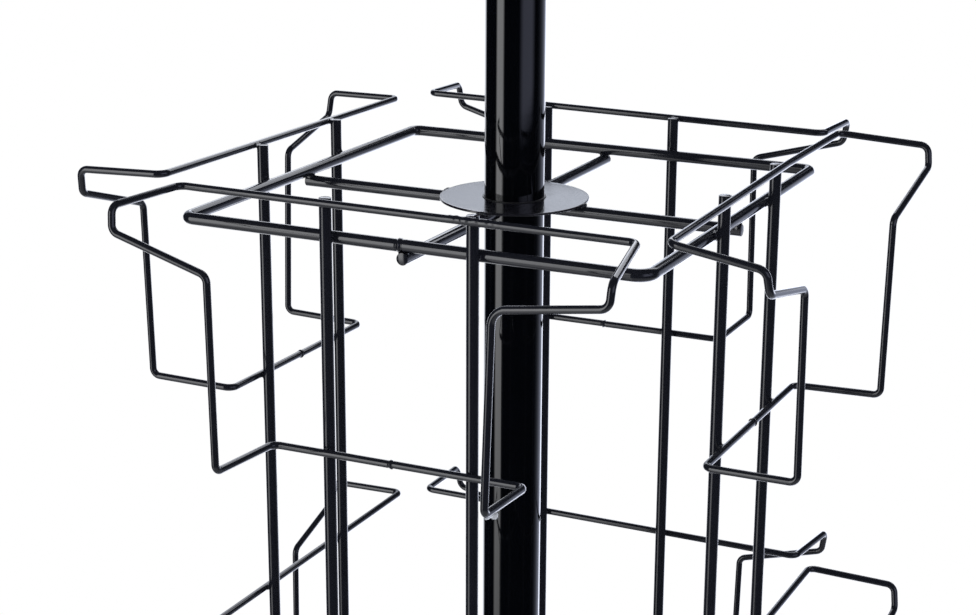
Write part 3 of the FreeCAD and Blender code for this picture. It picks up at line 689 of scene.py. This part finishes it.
def bead(points, radius, seed, ripple, pitch=1.6):
    """Rippled weld bead laid along a path, tapering at its ends."""
    p = np.asarray(points, float)
    length = np.concatenate(([0], np.cumsum(np.linalg.norm(np.diff(p, axis=0), axis=1))))
    total = length[-1]
    s = np.linspace(0, total, max(8, int(total / 0.35)))
    path = np.column_stack([np.interp(s, length, p[:, i]) for i in range(3)])
    phase = np.random.default_rng(seed).uniform(0, 6.28)
    radii = (1 + ripple * np.abs(np.sin(math.pi * s / pitch + phase))
             + 0.06 * np.sin(s * 0.9 + phase * 2))
    taper = np.clip(np.minimum(s, total - s) / (radius * 1.1), 0, 1)
    radii *= np.sqrt(np.maximum(1 - (1 - taper) ** 2, 0.02))
    return sweep(path, radius, segs=20, radii=radii)


def butt_joint(at, swell, swell_width, neck, neck_place, neck_width, step, steepness, fade):
    """Relative change of radius, and step of the axis in mm, at distances from a joint.

    The wire swells at the joint and thins on both sides; its two ends don't quite line up."""
    change = swell * hump(at, swell_width) - neck * hump(np.abs(at) - neck_place, neck_width)
    offset = step * (logistic(np.clip(at, -15, 15) * steepness) - 0.5) * hump(at, fade)
    return change, offset


# ------------------------------------------------------------------ pole and its cap
def build_pole():
    inner = POLE_R - 1.6
    profile = [(POLE_R, POLE_LOW, 0.5), (POLE_R, POLE_TOP, 0.5),
               (inner, POLE_TOP, 0.2), (inner, POLE_LOW, 0.2)]
    make_part("pole_tube", "pole_enamel", "stand", [lathe(rounded(profile, 4), 256)],
              sharp=40, replaces="pole")


def build_pole_cap():
    base, plug_r = POLE_TOP + GAP, 23.7
    profile = [(0, base - 16), (plug_r, base - 16, 1.2), (plug_r, base), (26, base, 0.25),
               (26, base + 2.6, 1.4), (23.2, base + 4.55, 1.6), (19.5, base + 5.0, 2.0),
               (0, base + 5.0)]
    make_part("pole_end_cap", "black_plastic", "stand", [lathe(rounded(profile, 6), 192)],
              sharp=50, replaces="pole_cap")


# ------------------------------------------------------------------ cage frame
def ring_wire(z, joint, seed, front_right_bend):
    """Square ring of bent wire, closed by a butt joint on the front side."""
    h = RING_HALF
    corners = [(-h, -h, z), (h, -h, z), (h, h, z), (-h, h, z)]
    run = h * 2 - RING_BEND - front_right_bend
    share = (joint + h - RING_BEND) / run
    at_joint = [share + k * 0.35 / run for k in range(-14, 15)]
    quarters = [0.25, 0.5, 0.75]
    stops = {0: at_joint + [0.1, 0.25, 0.75, 0.9], 1: quarters, 2: quarters, 3: quarters}
    bends = [RING_BEND, front_right_bend, RING_BEND, RING_BEND]
    path = bent_path(corners, bends, stops, step=3.0)

    on = (path[:, 1] < -h + 1e-6) & (np.abs(path[:, 0]) < h - RING_BEND + 1e-6)
    change, offset = butt_joint(path[on, 0] - joint, **RING_JOINT)
    radii = np.ones(len(path))
    radii[on] += change
    path[on, 2] += offset
    path[on, 1] += 0.5 * offset

    def skin(p, normals):
        near = hump(p[:, 0] - joint, 1.6) * (p[:, 1] < -h + 6)
        return (near * 0.16 * smooth_noise(p, 2.2, seed)
                + 0.015 * smooth_noise(p, 0.25, seed + 1))

    return sweep(path, WIRE, WIRE_SEGS, closed=True, radii=radii, skin=skin)


def build_rings():
    for name, level, z, seed, bend in (("ring_upper_wire", "top", RING_TOP, 5, WIDE_BEND),
                                       ("ring_lower_wire", "bottom", RING_LOW, 9, RING_BEND)):
        make_part(name, "wire_powder_coat", "cage",
                  [ring_wire(z, RING_JOINTS[level], seed, bend)],
                  sharp=60, replaces=f"{level}_ring")


# sheared ends: a chamfer, and how far before the nominal end it starts
SHEAR_CHAMFER, SHEAR_BACK = 0.4, 0.22


def build_uprights():
    for side, angle in SIDES.items():
        for hand, sign in (("left", -1), ("right", 1)):
            along = UPRIGHT_ALONG * sign
            path = straight(on_side(angle, along, UPRIGHT_OUT, UPRIGHT_LOW + SHEAR_BACK),
                            on_side(angle, along, UPRIGHT_OUT, UPRIGHT_HIGH - SHEAR_BACK), 12)
            shell = sweep(path, WIRE, WIRE_SEGS, chamfer=SHEAR_CHAMFER,
                          skin=lambda p, normals: 0.012 * smooth_noise(p, 0.2, 31))
            make_part(f"upright_wire_{side}_{hand}", "wire_powder_coat", "cage", [shell],
                      sharp=40, replaces=f"upright_{side}_{hand}")


def build_spokes():
    for level, ring_z in (("top", RING_TOP), ("bottom", RING_LOW)):
        z = ring_z - SPOKE_DROP
        for side, angle in SIDES.items():
            path = straight(on_side(angle, 0.0, SPOKE_IN + SHEAR_BACK, z),
                            on_side(angle, 0.0, SPOKE_OUT - SHEAR_BACK, z), 4)
            shell = sweep(path, WIRE, WIRE_SEGS, chamfer=SHEAR_CHAMFER)
            make_part(f"spoke_wire_{level}_{side}", "wire_powder_coat", "cage", [shell],
                      sharp=40, replaces=f"{level}_spoke_{side}")


# ------------------------------------------------------------------ pockets
# A pocket's own frame: x along its side, -y out, z up from its tier.
def tier_z(tier):
    return RING_TOP - TIERS.index(tier) * TIER_PITCH


def pocket_chain(shape):
    """Corners and bend radii of a pocket, left heel to right heel; shape None is even."""
    halves = []
    for hand, sign in enumerate((-1, 1)):
        half = []
        for i, (corner, _) in enumerate(CORNERS.values()):
            forming = FORMING[shape][hand][i] if shape else (0, 0, 0)
            along, out, up = np.add(corner, forming)
            half.append(np.array((sign * along, -out, up)))
        halves.append(half)
    left, right = halves
    points = left[::-1] + right
    bends = [bend for _, bend in CORNERS.values()]
    bends = bends[::-1] + bends
    if shape == "front":
        bends[FRONT_ELBOW] = FRONT_ELBOW_BEND
    left_rim, right_rim = left[0], right[0]
    if abs(right_rim[1] + SEAT) > 0.5:
        # this rim's right end stands off the seat: the wire kinks just past the upright
        share = (KINK_ALONG - left_rim[0]) / (right_rim[0] - left_rim[0])
        up = left_rim[2] + (right_rim[2] - left_rim[2]) * share
        points.insert(LEFT_RIM + 1, np.array((KINK_ALONG, -SEAT, up)))
        bends.insert(LEFT_RIM + 1, KINK_BEND)
    return points, bends


def pocket_wire(points, bends, joint, seed, lumpy):
    """Bent pocket loop; lumpy adds a rough stretch on the right of the rim."""
    # the last run, right heel to left heel, carries the butt joint
    heel_bend = CORNERS["heel"][1]
    length = points[-1][0] - points[0][0] - 2 * heel_bend
    middle = (points[-1][0] - heel_bend - joint) / length
    at_joint = [middle + k * 0.25 / length for k in range(-12, 13)]
    stops = {len(points) - 1: at_joint + [0.12, 0.25, 0.75, 0.88]}
    if lumpy:
        stops[LEFT_RIM] = np.linspace(0.03, 0.97, 220)
    path = bent_path(points, bends, stops, step=5.0)

    at = path[:, 0] - joint
    on = (path[:, 2] < -150) & (np.abs(path[:, 1] + SEAT) < 1e-3) & (np.abs(at) < 30)
    change, offset = butt_joint(at[on], **POCKET_JOINT)
    radii = np.ones(len(path))
    radii[on] += change
    path[on, 2] += offset

    def skin(p, normals):
        near = hump(p[:, 0] - joint, 1.0) * (p[:, 2] < -150)
        rise = near * 0.14 * smooth_noise(p, 3.0, seed)
        if lumpy:
            stretch = (logistic((p[:, 0] - 47) / 1.6) * (1 - logistic((p[:, 0] - 88) / 2.2))
                       * (p[:, 2] > 20) * (p[:, 1] > -SEAT - 4))
            lumps = (0.22 + 0.46 * np.clip(smooth_noise(p, 0.85, 77), 0, 1)
                     + 0.20 * smooth_noise(p, 2.6, 78))
            rise = rise + stretch * lumps * (0.55 + 0.45 * normals[:, 2])
        return rise

    return sweep(path, POCKET_WIRE, 32, closed=True, radii=radii, skin=skin)


def build_pockets():
    for tier_number, tier in enumerate(TIERS):
        for side_number, (side, angle) in enumerate(SIDES.items()):
            points, bends = pocket_chain(FORMED_LIKE.get((tier, side)))
            seed = 100 + tier_number * 10 + side_number
            drawn_joint = np.random.default_rng(seed).uniform(-9, 9)
            joint = TOP_POCKET_JOINTS[side] if tier == "top" else drawn_joint
            lumpy = tier == "top" and side == "front"
            shell = moved(pocket_wire(points, bends, joint, seed, lumpy),
                          turn=angle + 90.0, move=(0, 0, tier_z(tier)))
            make_part(f"pocket_wire_{tier}_{side}", "wire_powder_coat", "cage", [shell],
                      sharp=60, replaces=f"pocket_{tier}_{side}")


# ------------------------------------------------------------------ welds of the wires
CONTACT = 0.01    # half the clearance between touching wires


def pocket_crossings():
    """(side's angle, place along the side, tier's height, wire's height over the tier)."""
    for tier, (side, angle) in itertools.product(TIERS, SIDES.items()):
        points, _ = pocket_chain(FORMED_LIKE.get((tier, side)))
        rim = points[LEFT_RIM], points[RIGHT_RIM]
        heels = points[0], points[-1]
        for along in (-UPRIGHT_ALONG, UPRIGHT_ALONG):
            for left, right in (rim, heels):
                share = (along - left[0]) / (right[0] - left[0])
                yield angle, along, tier_z(tier), left[2] + (right[2] - left[2]) * share


def build_pocket_welds():
    blend, size = 3.4, 5.2
    patches = [weld_patch(WIRE, POCKET_WIRE, blend, 40 + k, size) for k in range(4)]
    shells = []
    for number, (angle, along, tier, height) in enumerate(pocket_crossings()):
        verts, faces = patches[number % 4]
        to_end = UPRIGHT_HIGH - tier - height
        if to_end < size:
            # the upright ends inside this patch
            verts, faces = weld_patch(WIRE, POCKET_WIRE, blend, 400 + number, size,
                                      top=to_end - 0.15)
        origin = on_side(angle, along, UPRIGHT_OUT + WIRE + CONTACT, tier + height)
        side_x, outward = on_side(angle, 1, 0, 0), on_side(angle, 0, 1, 0)
        shells.append((placed(verts, origin, side_x, outward, (0, 0, 1)), faces))
    make_part("welds_pocket_to_upright", "wire_powder_coat", "cage", shells, sharp=60)


def build_frame_welds():
    blend, size, spoke_cut = 4.6, 7.6, 2.7
    patches = itertools.cycle([weld_patch(WIRE, WIRE, blend, 60 + k, size) for k in range(4)])
    shells = []
    for z, angle in itertools.product((RING_TOP, RING_LOW), SIDES.values()):
        side_x = on_side(angle, 1, 0, 0)
        outward = np.array(on_side(angle, 0, 1, 0))
        for along in (-UPRIGHT_ALONG, UPRIGHT_ALONG):
            # the upright is outside and the ring inside: the contact normal points in
            verts, faces = next(patches)
            origin = on_side(angle, along, RING_HALF + WIRE + CONTACT, z)
            shells.append((placed(verts, origin, side_x, -outward, (0, 0, 1)),
                           faces[:, ::-1]))
        # the spoke runs outward under the ring; the patch is cut off near the spoke's end
        verts, faces = next(patches)
        keep = (verts[:, 2] < spoke_cut)[faces].all(1)
        origin = on_side(angle, 0.0, RING_HALF, z - WIRE - CONTACT)
        shells.append((placed(verts, origin, side_x, (0, 0, 1), outward),
                       faces[keep][:, ::-1]))
    make_part("welds_frame_crossings", "wire_powder_coat", "cage", shells, sharp=60)


# ------------------------------------------------------------------ discs
def warp(r, angle):
    """Slight buckle of the upper disc, growing toward its rim."""
    grow = (r / DISC_R) ** 2
    return 0.22 * math.sin(2 * angle + 0.6) * grow + 0.10 * math.sin(3 * angle + 1.0) * grow


def disc_profile(low, high, rings=14):
    corners = rounded([(DISC_BORE, low, 0.25), (DISC_R, low, 0.45), (DISC_R, high, 0.7),
                       (DISC_BORE, high, 0.35)], 5)
    out = []
    for i, (r, z) in enumerate(corners):
        next_r, next_z = corners[(i + 1) % len(corners)]
        out.append((r, z))
        if abs(next_r - r) > 10:
            out += [(r + (next_r - r) * k / rings, z + (next_z - z) * k / rings)
                    for k in range(1, rings)]
    return out


def build_discs():
    for name, faces, wobble, node in (("disc_upper", TOP_DISC, warp, "top_disc"),
                                      ("disc_lower", LOW_DISC, None, "bottom_disc")):
        make_part(name, "disc_powder_coat", "cage", [lathe(disc_profile(*faces), 192, wobble)],
                  sharp=50, replaces=node)


def build_disc_tacks():
    shells = []
    # along both flanks of each spoke, on the disc's spoke side
    for (low, high), toward_spoke in ((TOP_DISC, -1.3), (LOW_DISC, 1.3)):
        z = 0.5 * (low + high) + toward_spoke
        for k, angle in enumerate(SIDES.values()):
            for sign in (-1, 1):
                points = [on_side(angle, sign * (3.7 + 0.25 * math.sin(j)), 52.0 + j * 1.25, z)
                          for j in range(9)]
                shells.append(bead(points, radius=1.5, seed=200 + k * 2 + sign, ripple=0.16))
    # a short bead on the upper disc's rim, over each spoke
    half, r = 4.6, DISC_R + 0.4
    for k, angle in enumerate(SIDES.values()):
        points = []
        for along in np.linspace(-half, half, 12):
            turn = math.radians(angle) + along / DISC_R
            points.append((r * math.cos(turn), r * math.sin(turn),
                           TOP_DISC[0] + 0.4 - 0.25 * abs(along) / half))
        shells.append(bead(points, radius=1.75, seed=240 + k, ripple=0.2, pitch=1.9))
    make_part("welds_disc_tacks", "wire_powder_coat", "cage", shells, sharp=60)


def build_drip():
    """Where the coat ran and hung, under the right knee of the top front pocket. Its pale grey
    colour is a painted highlight on the black coat.
    """
    knee, heel = pocket_chain("front")[0][-2:]
    inward = unit(heel - knee)
    verts, faces = ball(2.85, segs=32, rows=20)
    centre = knee + inward * 19.0 + np.array((0.0, 0.0, -5.4))
    drop = (verts * np.array((1.0, 1.0, 1.08)) + centre, faces)
    sag = [knee + inward * s + np.array((0.0, 0.0, -3.1 - 0.055 * s))
           for s in np.linspace(3.0, 20.5, 13)]
    run = bead(sag, radius=1.35, seed=91, ripple=0.03, pitch=5.0)
    shells = [moved(shell, move=(0, 0, RING_TOP)) for shell in (drop, run)]
    drip = make_part("coat_drip_front", "wire_powder_coat", "cage", shells, sharp=80)
    # the drip's pale grey material is a painted highlight
    set_material(drip, "drip_painted_highlight")


# ------------------------------------------------------------------ bushings
BUSH_BORE, BUSH_R = 25.46, 26.55


def build_bushings():
    low, high = TOP_DISC[0] - GAP, TOP_DISC[1] + GAP
    lip_r, lip = 26.95, 0.6
    upper = [(BUSH_BORE, low - lip, 0.15), (lip_r, low - lip, 0.25), (lip_r, low, 0.08),
             (BUSH_R, low), (BUSH_R, high), (lip_r, high, 0.08),
             (lip_r, high + lip, 0.25), (BUSH_BORE, high + lip, 0.15)]
    seat = LOW_DISC[1] + GAP
    flange_r, collar_r = 33, 29.5
    lower = [(BUSH_BORE, seat - 5.6, 0.2), (BUSH_R, seat - 5.6, 0.2), (BUSH_R, seat),
             (flange_r, seat, 0.3), (flange_r, seat + 3, 0.4), (collar_r, seat + 3, 0.3),
             (collar_r, seat + 22, 0.5), (BUSH_BORE, seat + 22, 0.3)]
    for name, profile, node in (("bushing_upper", upper, "top_bushing"),
                                ("bushing_lower", lower, "bottom_bushing")):
        make_part(name, "black_nylon", "cage", [lathe(rounded(profile, 4))],
                  sharp=50, replaces=node)


# ------------------------------------------------------------------ thrust bearing
def race_profile(low, bore, groove_side):
    """Washer with a ball groove in its top (+1) or bottom (-1) face."""
    high, outer_r, groove_r, steps = low + RACE_THICK, 39.0, 3.2, 10
    face = high if groove_side > 0 else low
    half = math.sqrt(max(groove_r ** 2 - (face - BALL_Z) ** 2, 0.01))
    groove = []
    for k in range(steps + 1):
        x = -half + 2 * half * k / steps
        depth = math.sqrt(max(groove_r ** 2 - x * x, 0))
        groove.append((BALL_CIRCLE + x, BALL_Z - groove_side * depth))
    outer = [(outer_r, low, 0.5), (outer_r, high, 0.5)]
    inner = [(bore, high, 0.3), (bore, low, 0.3)]
    if groove_side > 0:
        return rounded(outer + groove[::-1] + inner, 3)
    return rounded(outer + inner + groove, 3)


def build_bearing():
    lower_race_low = BALL_Z - RACE_SPACE / 2 - RACE_THICK
    lower = race_profile(lower_race_low, bore=25.6, groove_side=1)
    upper = race_profile(UPPER_RACE_LOW, bore=26.6, groove_side=-1)
    make_part("thrust_race_lower", "bearing_steel", "stand", [lathe(lower)],
              sharp=40, replaces="bearing_lower_race")
    make_part("thrust_race_upper", "bearing_steel", "cage", [lathe(upper)],
              sharp=40, replaces="bearing_upper_race")
    ball_shell, count = ball(3.175), 16
    shells = []
    for k in range(count):
        turn = 2 * math.pi * k / count
        shells.append(moved(ball_shell, move=(BALL_CIRCLE * math.cos(turn),
                                              BALL_CIRCLE * math.sin(turn), BALL_Z)))
    make_part("thrust_balls", "polished_balls", "ball_set", shells,
              sharp=60, replaces="bearing_balls")


# ------------------------------------------------------------------ pieces that keep their CAD shape
# node: (material, edge bevel in mm)
KEPT = {
    "bearing_retainer": ("retainer_brass", 0.15),
    "support_collar": ("base_powder_coat", 0.3),
    "collar_set_screws": ("black_oxide_steel", 0.25),
    "hub_bolts": ("zinc_steel", 0.3),
    "leg_end_caps": ("black_plastic", 0.7),
    "foot_weld_nuts": ("zinc_steel", 0.4),
    "foot_lock_nuts": ("zinc_steel", 0.4),
    **{f"leg_{leg}": ("base_powder_coat", 0.25) for leg in LEGS},
}


def dress_kept_nodes():
    for node, (slot, bevel) in KEPT.items():
        obj = CAD_NODES[node]
        set_material(obj, slot)
        for polygon in obj.data.polygons:
            polygon.use_smooth = True
        obj.data.set_sharp_from_angle(angle=math.radians(35))
        weld = obj.modifiers.new("weld", "WELD")
        weld.merge_threshold = 0.00001
        edge = obj.modifiers.new("edge", "BEVEL")
        edge.width, edge.segments = bevel * MM, 3
        edge.limit_method, edge.angle_limit = "ANGLE", math.radians(38)
        edge.harden_normals = True


# ------------------------------------------------------------------ hub and leg welds
def build_hub():
    bore, bottom, top = 25.45, 17, 122
    profile = [(0, bottom), (HUB_R - 0.6, bottom, 0.5), (HUB_R, 17.8, 0.5),
               (HUB_R, 120.6, 0.6), (HUB_R - 1.2, top, 0.5), (26.2, top, 0.3),
               (bore, 121.2, 0.3), (bore, HUB_FLOOR, 0.3), (0, HUB_FLOOR)]
    make_part("hub_tube", "base_powder_coat", "stand", [lathe(rounded(profile, 5), 192)],
              sharp=40, replaces="base_hub")


def build_leg_welds():
    leg_half = 12.7
    spread = math.asin((leg_half + 0.6) / (HUB_R + 0.9))
    low, high, across_z = 22.5, 69.0, 71.2
    flank_r, across_r = HUB_R + 1.0, HUB_R + 0.8
    style = dict(radius=1.9, ripple=0.18, pitch=2.4)
    shells = []
    for k, degrees in enumerate(LEGS.values()):
        angle = math.radians(degrees)
        for sign in (-1, 1):
            turn = angle + sign * spread
            points = [(flank_r * math.cos(turn), flank_r * math.sin(turn), z)
                      for z in np.linspace(low, high, 24)]
            shells.append(bead(points, seed=300 + k * 2 + sign, **style))
        points = [(across_r * math.cos(angle + q), across_r * math.sin(angle + q), across_z)
                  for q in np.linspace(-spread * 0.95, spread * 0.95, 14)]
        shells.append(bead(points, seed=330 + k, **style))
    make_part("welds_leg_to_hub", "base_powder_coat", "stand", shells, sharp=60)


# ------------------------------------------------------------------ levelling feet
FOOT_REACH = 334.0
STEM_LOW = 4.0


def threaded_stem(low, high, radius, pitch, depth, segs=40):
    """Rod with a real helical thread, its crests at the nominal radius."""
    rows = int((high - low) / pitch * 12)
    verts = []
    for z in np.linspace(low, high, rows + 1):
        fade = min(1.0, (z - low) / 1.2, (high - z) / 1.2)
        lead = min(1.0, high - z + 0.2)
        for k in range(segs):
            phase = (z / pitch - k / segs) % 1.0
            crest = min(max((abs(2 * phase - 1) - 0.12) / 0.76, 0.0), 1.0)
            r = radius - depth * (1 - crest) * fade - (1 - lead) * 0.7
            turn = 2 * math.pi * k / segs
            verts.append((r * math.cos(turn), r * math.sin(turn), z))
    return verts, column_faces(rows + 1, segs)


def hexagon(flats, low, high, segs=72):
    """Hexagon with its corners turned off by a chamfer on both faces."""
    corner_r, flat_r = flats / math.sqrt(3), flats / 2
    chamfer = (corner_r - flat_r) * 0.58
    levels = [(low, flat_r - 0.25), (low + 0.12, flat_r - 0.05), (low + chamfer, corner_r),
              (high - chamfer, corner_r), (high - 0.12, flat_r - 0.05), (high, flat_r - 0.25)]
    sixth = math.pi / 3
    verts = []
    for z, limit in levels:
        for k in range(segs):
            turn = 2 * math.pi * k / segs
            r = min(flat_r / math.cos((turn + sixth / 2) % sixth - sixth / 2), limit)
            verts.append((r * math.cos(turn), r * math.sin(turn), z))
    return verts, column_faces(len(levels), segs)


def build_feet():
    stem = threaded_stem(STEM_LOW, high=50.0, radius=4.95, pitch=1.5, depth=0.9)
    hex_nut = hexagon(flats=13.0, low=9.54, high=13.5)
    recess = STEM_LOW - GAP
    pad = lathe(rounded([(0, 0), (18.0, 0, 0.3), (19.0, 1.0, 0.5), (19.0, 3.0, 0.6),
                         (14.0, 6.3, 1.2), (10.0, 8.7, 0.6), (9.0, 9.5, 0.3),
                         (5.2, 9.5, 0.2), (5.1, recess), (0, recess)], 5), 128)
    for leg, angle in LEGS.items():
        place = on_side(angle, 0, FOOT_REACH, 0)
        make_part(f"leveller_stem_{leg}", "zinc_steel", f"foot_{leg}",
                  [moved(stem, move=place), moved(hex_nut, turn=angle + 30.0, move=place)],
                  sharp=28, replaces=f"foot_stem_{leg}")
        make_part(f"leveller_pad_{leg}", "pad_nylon", f"foot_{leg}", [moved(pad, move=place)],
                  sharp=45, replaces=f"foot_pad_{leg}")


# ------------------------------------------------------------------ floor (m)
def floor_material():
    """Pale paper near the rack that fades into plain white farther out."""
    mat = bpy.data.materials.new("floor_paper")
    t = Nodes(mat)
    position = t.new("ShaderNodeNewGeometry").outputs["Position"]
    x, y, _ = t.new("ShaderNodeSeparateXYZ", {0: position}).outputs
    radius = t.calc("SQRT", t.calc("ADD", t.times(x, x), t.times(y, y)))
    far = t.smooth(radius, low=0.55, high=1.35)
    grain = t.noise(position, scale=240.0, detail=3.0, rough=0.6)
    tone = t.mix(grain, (0.895, 0.90, 0.91, 1.0), (0.915, 0.918, 0.925, 1.0))
    paper = t.new("ShaderNodeBsdfDiffuse", {"Color": tone})
    white = t.new("ShaderNodeEmission", {"Color": (1, 1, 1, 1), "Strength": 1.0})
    blend = t.new("ShaderNodeMixShader", {0: far, 1: paper.outputs[0], 2: white.outputs[0]})
    t.new("ShaderNodeOutputMaterial", {0: blend.outputs[0]})
    return mat


def build_floor():
    radii = [0.2, 0.4, 0.6, 0.8, 1.0, 1.3, 1.7, 2.4, 3.6, 6.0, 14.0]
    segs = 72
    verts = [(0, 0, 0)]
    for r in radii:
        verts += [(r * math.cos(2 * math.pi * k / segs), r * math.sin(2 * math.pi * k / segs), 0)
                  for k in range(segs)]
    mesh = bpy.data.meshes.new("floor")
    mesh.from_pydata(verts, [], fan_and_bands(len(radii), segs))
    floor = bpy.data.objects.new("floor", mesh)
    bpy.context.scene.collection.objects.link(floor)
    floor.location.z = -0.0002
    floor.visible_glossy = False
    mesh.materials.append(floor_material())


# ------------------------------------------------------------------ camera (m)
# Azimuth runs from the front toward the right side.
CAMERA_AZIMUTH, CAMERA_RISE, CAMERA_ROLL = (
    math.radians(degrees) for degrees in (25.6062, 16.3593, 0.2695))
CAMERA_DISTANCE = 1.74084
CAMERA_RIGHT, CAMERA_UP = -0.02228016, -0.09736854    # shift in the picture's plane
CAMERA_LENS = 75.7535385


def build_camera():
    """Looks at the height of the top ring from the front right, a little from above."""
    azimuth, rise, roll = CAMERA_AZIMUTH, CAMERA_RISE, CAMERA_ROLL
    back = Vector((math.sin(azimuth) * math.cos(rise), -math.cos(azimuth) * math.cos(rise),
                   math.sin(rise)))
    level_right = Vector((math.cos(azimuth), math.sin(azimuth), 0.0))
    level_up = back.cross(level_right)
    right = math.cos(roll) * level_right + math.sin(roll) * level_up
    up = -math.sin(roll) * level_right + math.cos(roll) * level_up
    place = (CAMERA_RIGHT * right + CAMERA_UP * up + CAMERA_DISTANCE * back
             + Vector((0, 0, RING_TOP * MM)))
    data = bpy.data.cameras.new("camera")
    data.sensor_fit = "HORIZONTAL"
    data.sensor_width = 36.0
    data.lens = CAMERA_LENS
    data.clip_start, data.clip_end = 0.05, 60.0
    camera = bpy.data.objects.new("camera", data)
    camera.matrix_world = Matrix((*zip(right, up, back, place), (0, 0, 0, 1)))
    bpy.context.scene.collection.objects.link(camera)
    bpy.context.scene.camera = camera


# ------------------------------------------------------------------ studio
def build_world():
    """White to the camera and to diffuse light; shaped pale areas in reflections."""
    world = bpy.data.worlds.new("studio")
    bpy.context.scene.world = world
    t = Nodes(world)
    direction = t.new("ShaderNodeTexCoord").outputs["Generated"]
    x, y, z = t.new("ShaderNodeSeparateXYZ", {0: direction}).outputs
    cosine, sine = math.cos(CAMERA_AZIMUTH), math.sin(CAMERA_AZIMUTH)
    rightward = t.calc("ADD", t.times(x, cosine), t.times(y, sine))
    toward_camera = t.calc("ADD", t.times(x, sine), t.times(y, -cosine))
    to_degrees = 180.0 / math.pi
    # degrees from the camera's side of the rack, positive to the right of the picture
    azimuth = t.times(t.calc("ARCTAN2", rightward, toward_camera), to_degrees)
    rise = t.times(t.calc("ARCSINE", z), to_degrees)
    away = t.calc("ABSOLUTE", azimuth)
    # degrees from straight behind the rack, positive to the right of the picture
    behind = t.times(t.calc("SUBTRACT", 180.0, away), t.calc("SIGN", azimuth))

    # the floor behind the rack, white up to the horizon and lifted at the left
    lift = t.calc("ADD", 1.0, t.times(t.window(azimuth, -170.0, -138.0, soft=10.0), 0.35))
    backdrop = t.times(t.smooth(away, low=138.0, high=150.0),
                       t.window(rise, -46.0, 3.0, soft=4.0), lift)
    # a box to the left of the camera
    softbox = t.times(t.window(azimuth, -74.0, -46.0, soft=5.0),
                      t.window(rise, -60.0, 28.0, soft=5.0),
                      t.smooth(rise, low=-40.0, high=-4.0, start=0.18, end=1.18))
    # a broad fill from the right, growing toward the back
    fill = t.times(t.calc("POWER", t.smooth(azimuth, low=82.0, high=158.0), 1.5),
                   t.smooth(rise, low=-4.0, high=10.0, start=1.0, end=0.0))
    # a pale wall low behind the rack, mostly to the left
    wall = t.times(t.window(behind, -34.0, 8.0, soft=3.0), t.window(rise, 4.0, 27.0, soft=4.0),
                   t.smooth(behind, low=-7.0, high=5.0, start=0.66, end=1.22))
    # a patch to the right of the camera, from the horizon up
    upper = t.times(t.window(azimuth, 22.0, 70.0, soft=11.0),
                    t.times(t.smooth(rise, low=-6.9, high=-5.2),
                            t.smooth(rise, low=24.0, high=36.0, start=1.0, end=0.0)))
    # the pale floor close around the rack, seen only at steep angles
    near_floor = t.smooth(rise, low=-46.0, high=-26.0, start=0.42, end=0.0)

    # colour, amount with its strength
    areas = (((0.905, 0.93, 1.0), t.times(backdrop, 1.35)),
             ((0.97, 0.98, 1.0), t.times(softbox, 3.0)),
             ((0.72, 0.78, 1.0), t.times(fill, 1.5)),
             ((0.82, 0.875, 1.0), t.times(wall, 1.48)),
             ((0.74, 0.78, 1.05), t.times(upper, 0.95)),
             ((0.93, 0.95, 1.0), near_floor))
    total = (0.010, 0.012, 0.017)    # dim studio where nothing else shines
    for colour, amount in areas:
        area = t.vector("SCALE", {0: colour, "Scale": amount})
        total = t.vector("ADD", {0: area, 1: total})
    rays = t.new("ShaderNodeLightPath").outputs
    plain = t.calc("MAXIMUM", rays["Is Camera Ray"], rays["Is Diffuse Ray"])
    shade = t.mix(plain, total, (1.0, 1.0, 1.0, 1.0))
    background = t.new("ShaderNodeBackground", {"Color": shade, "Strength": 1.0})
    t.new("ShaderNodeOutputWorld", {0: background.outputs[0]})
    world.cycles.sampling_method = "AUTOMATIC"


# Two long softboxes high behind the rack, one sloping down to its left and one to its right:
# they draw the pale bands on the wires that run front to back.
# name, (x, z), slope in degrees, length, width, power per area
STRIPS = (
    ("strip_left", (-0.55, 2.583), -25.8, 2.6, 0.75, 2.6),
    ("strip_right", (0.03, 2.747), 26.6, 2.1, 0.55, 2.9),
)
STRIP_Y = 2.0


def build_strips():
    for name, (x, z), slope, length, width, power in STRIPS:
        lamp = bpy.data.lights.new(name, "AREA")
        lamp.shape, lamp.size, lamp.size_y = "RECTANGLE", length, width
        lamp.energy = power * math.pi * length * width
        lamp.color = (0.90, 0.925, 1.0)
        strip = bpy.data.objects.new(name, lamp)
        strip.matrix_world = (Matrix.Translation((x, STRIP_Y, z))
                              @ Matrix.Rotation(math.radians(slope), 4, "Y")
                              @ Matrix.Rotation(math.radians(-90.0), 4, "X"))
        bpy.context.scene.collection.objects.link(strip)
        strip.visible_camera = False
        strip.visible_diffuse = False


# ------------------------------------------------------------------ build everything
build_pole()
build_pole_cap()
build_rings()
build_uprights()
build_spokes()
build_pockets()
build_pocket_welds()
build_frame_welds()
build_discs()
build_disc_tacks()
build_drip()
build_bushings()
build_bearing()
dress_kept_nodes()
build_hub()
build_leg_welds()
build_feet()
build_floor()
build_camera()
build_world()
build_strips()
bpy.context.scene.view_settings.view_transform = "Standard"
bpy.context.scene.view_settings.look = "None"
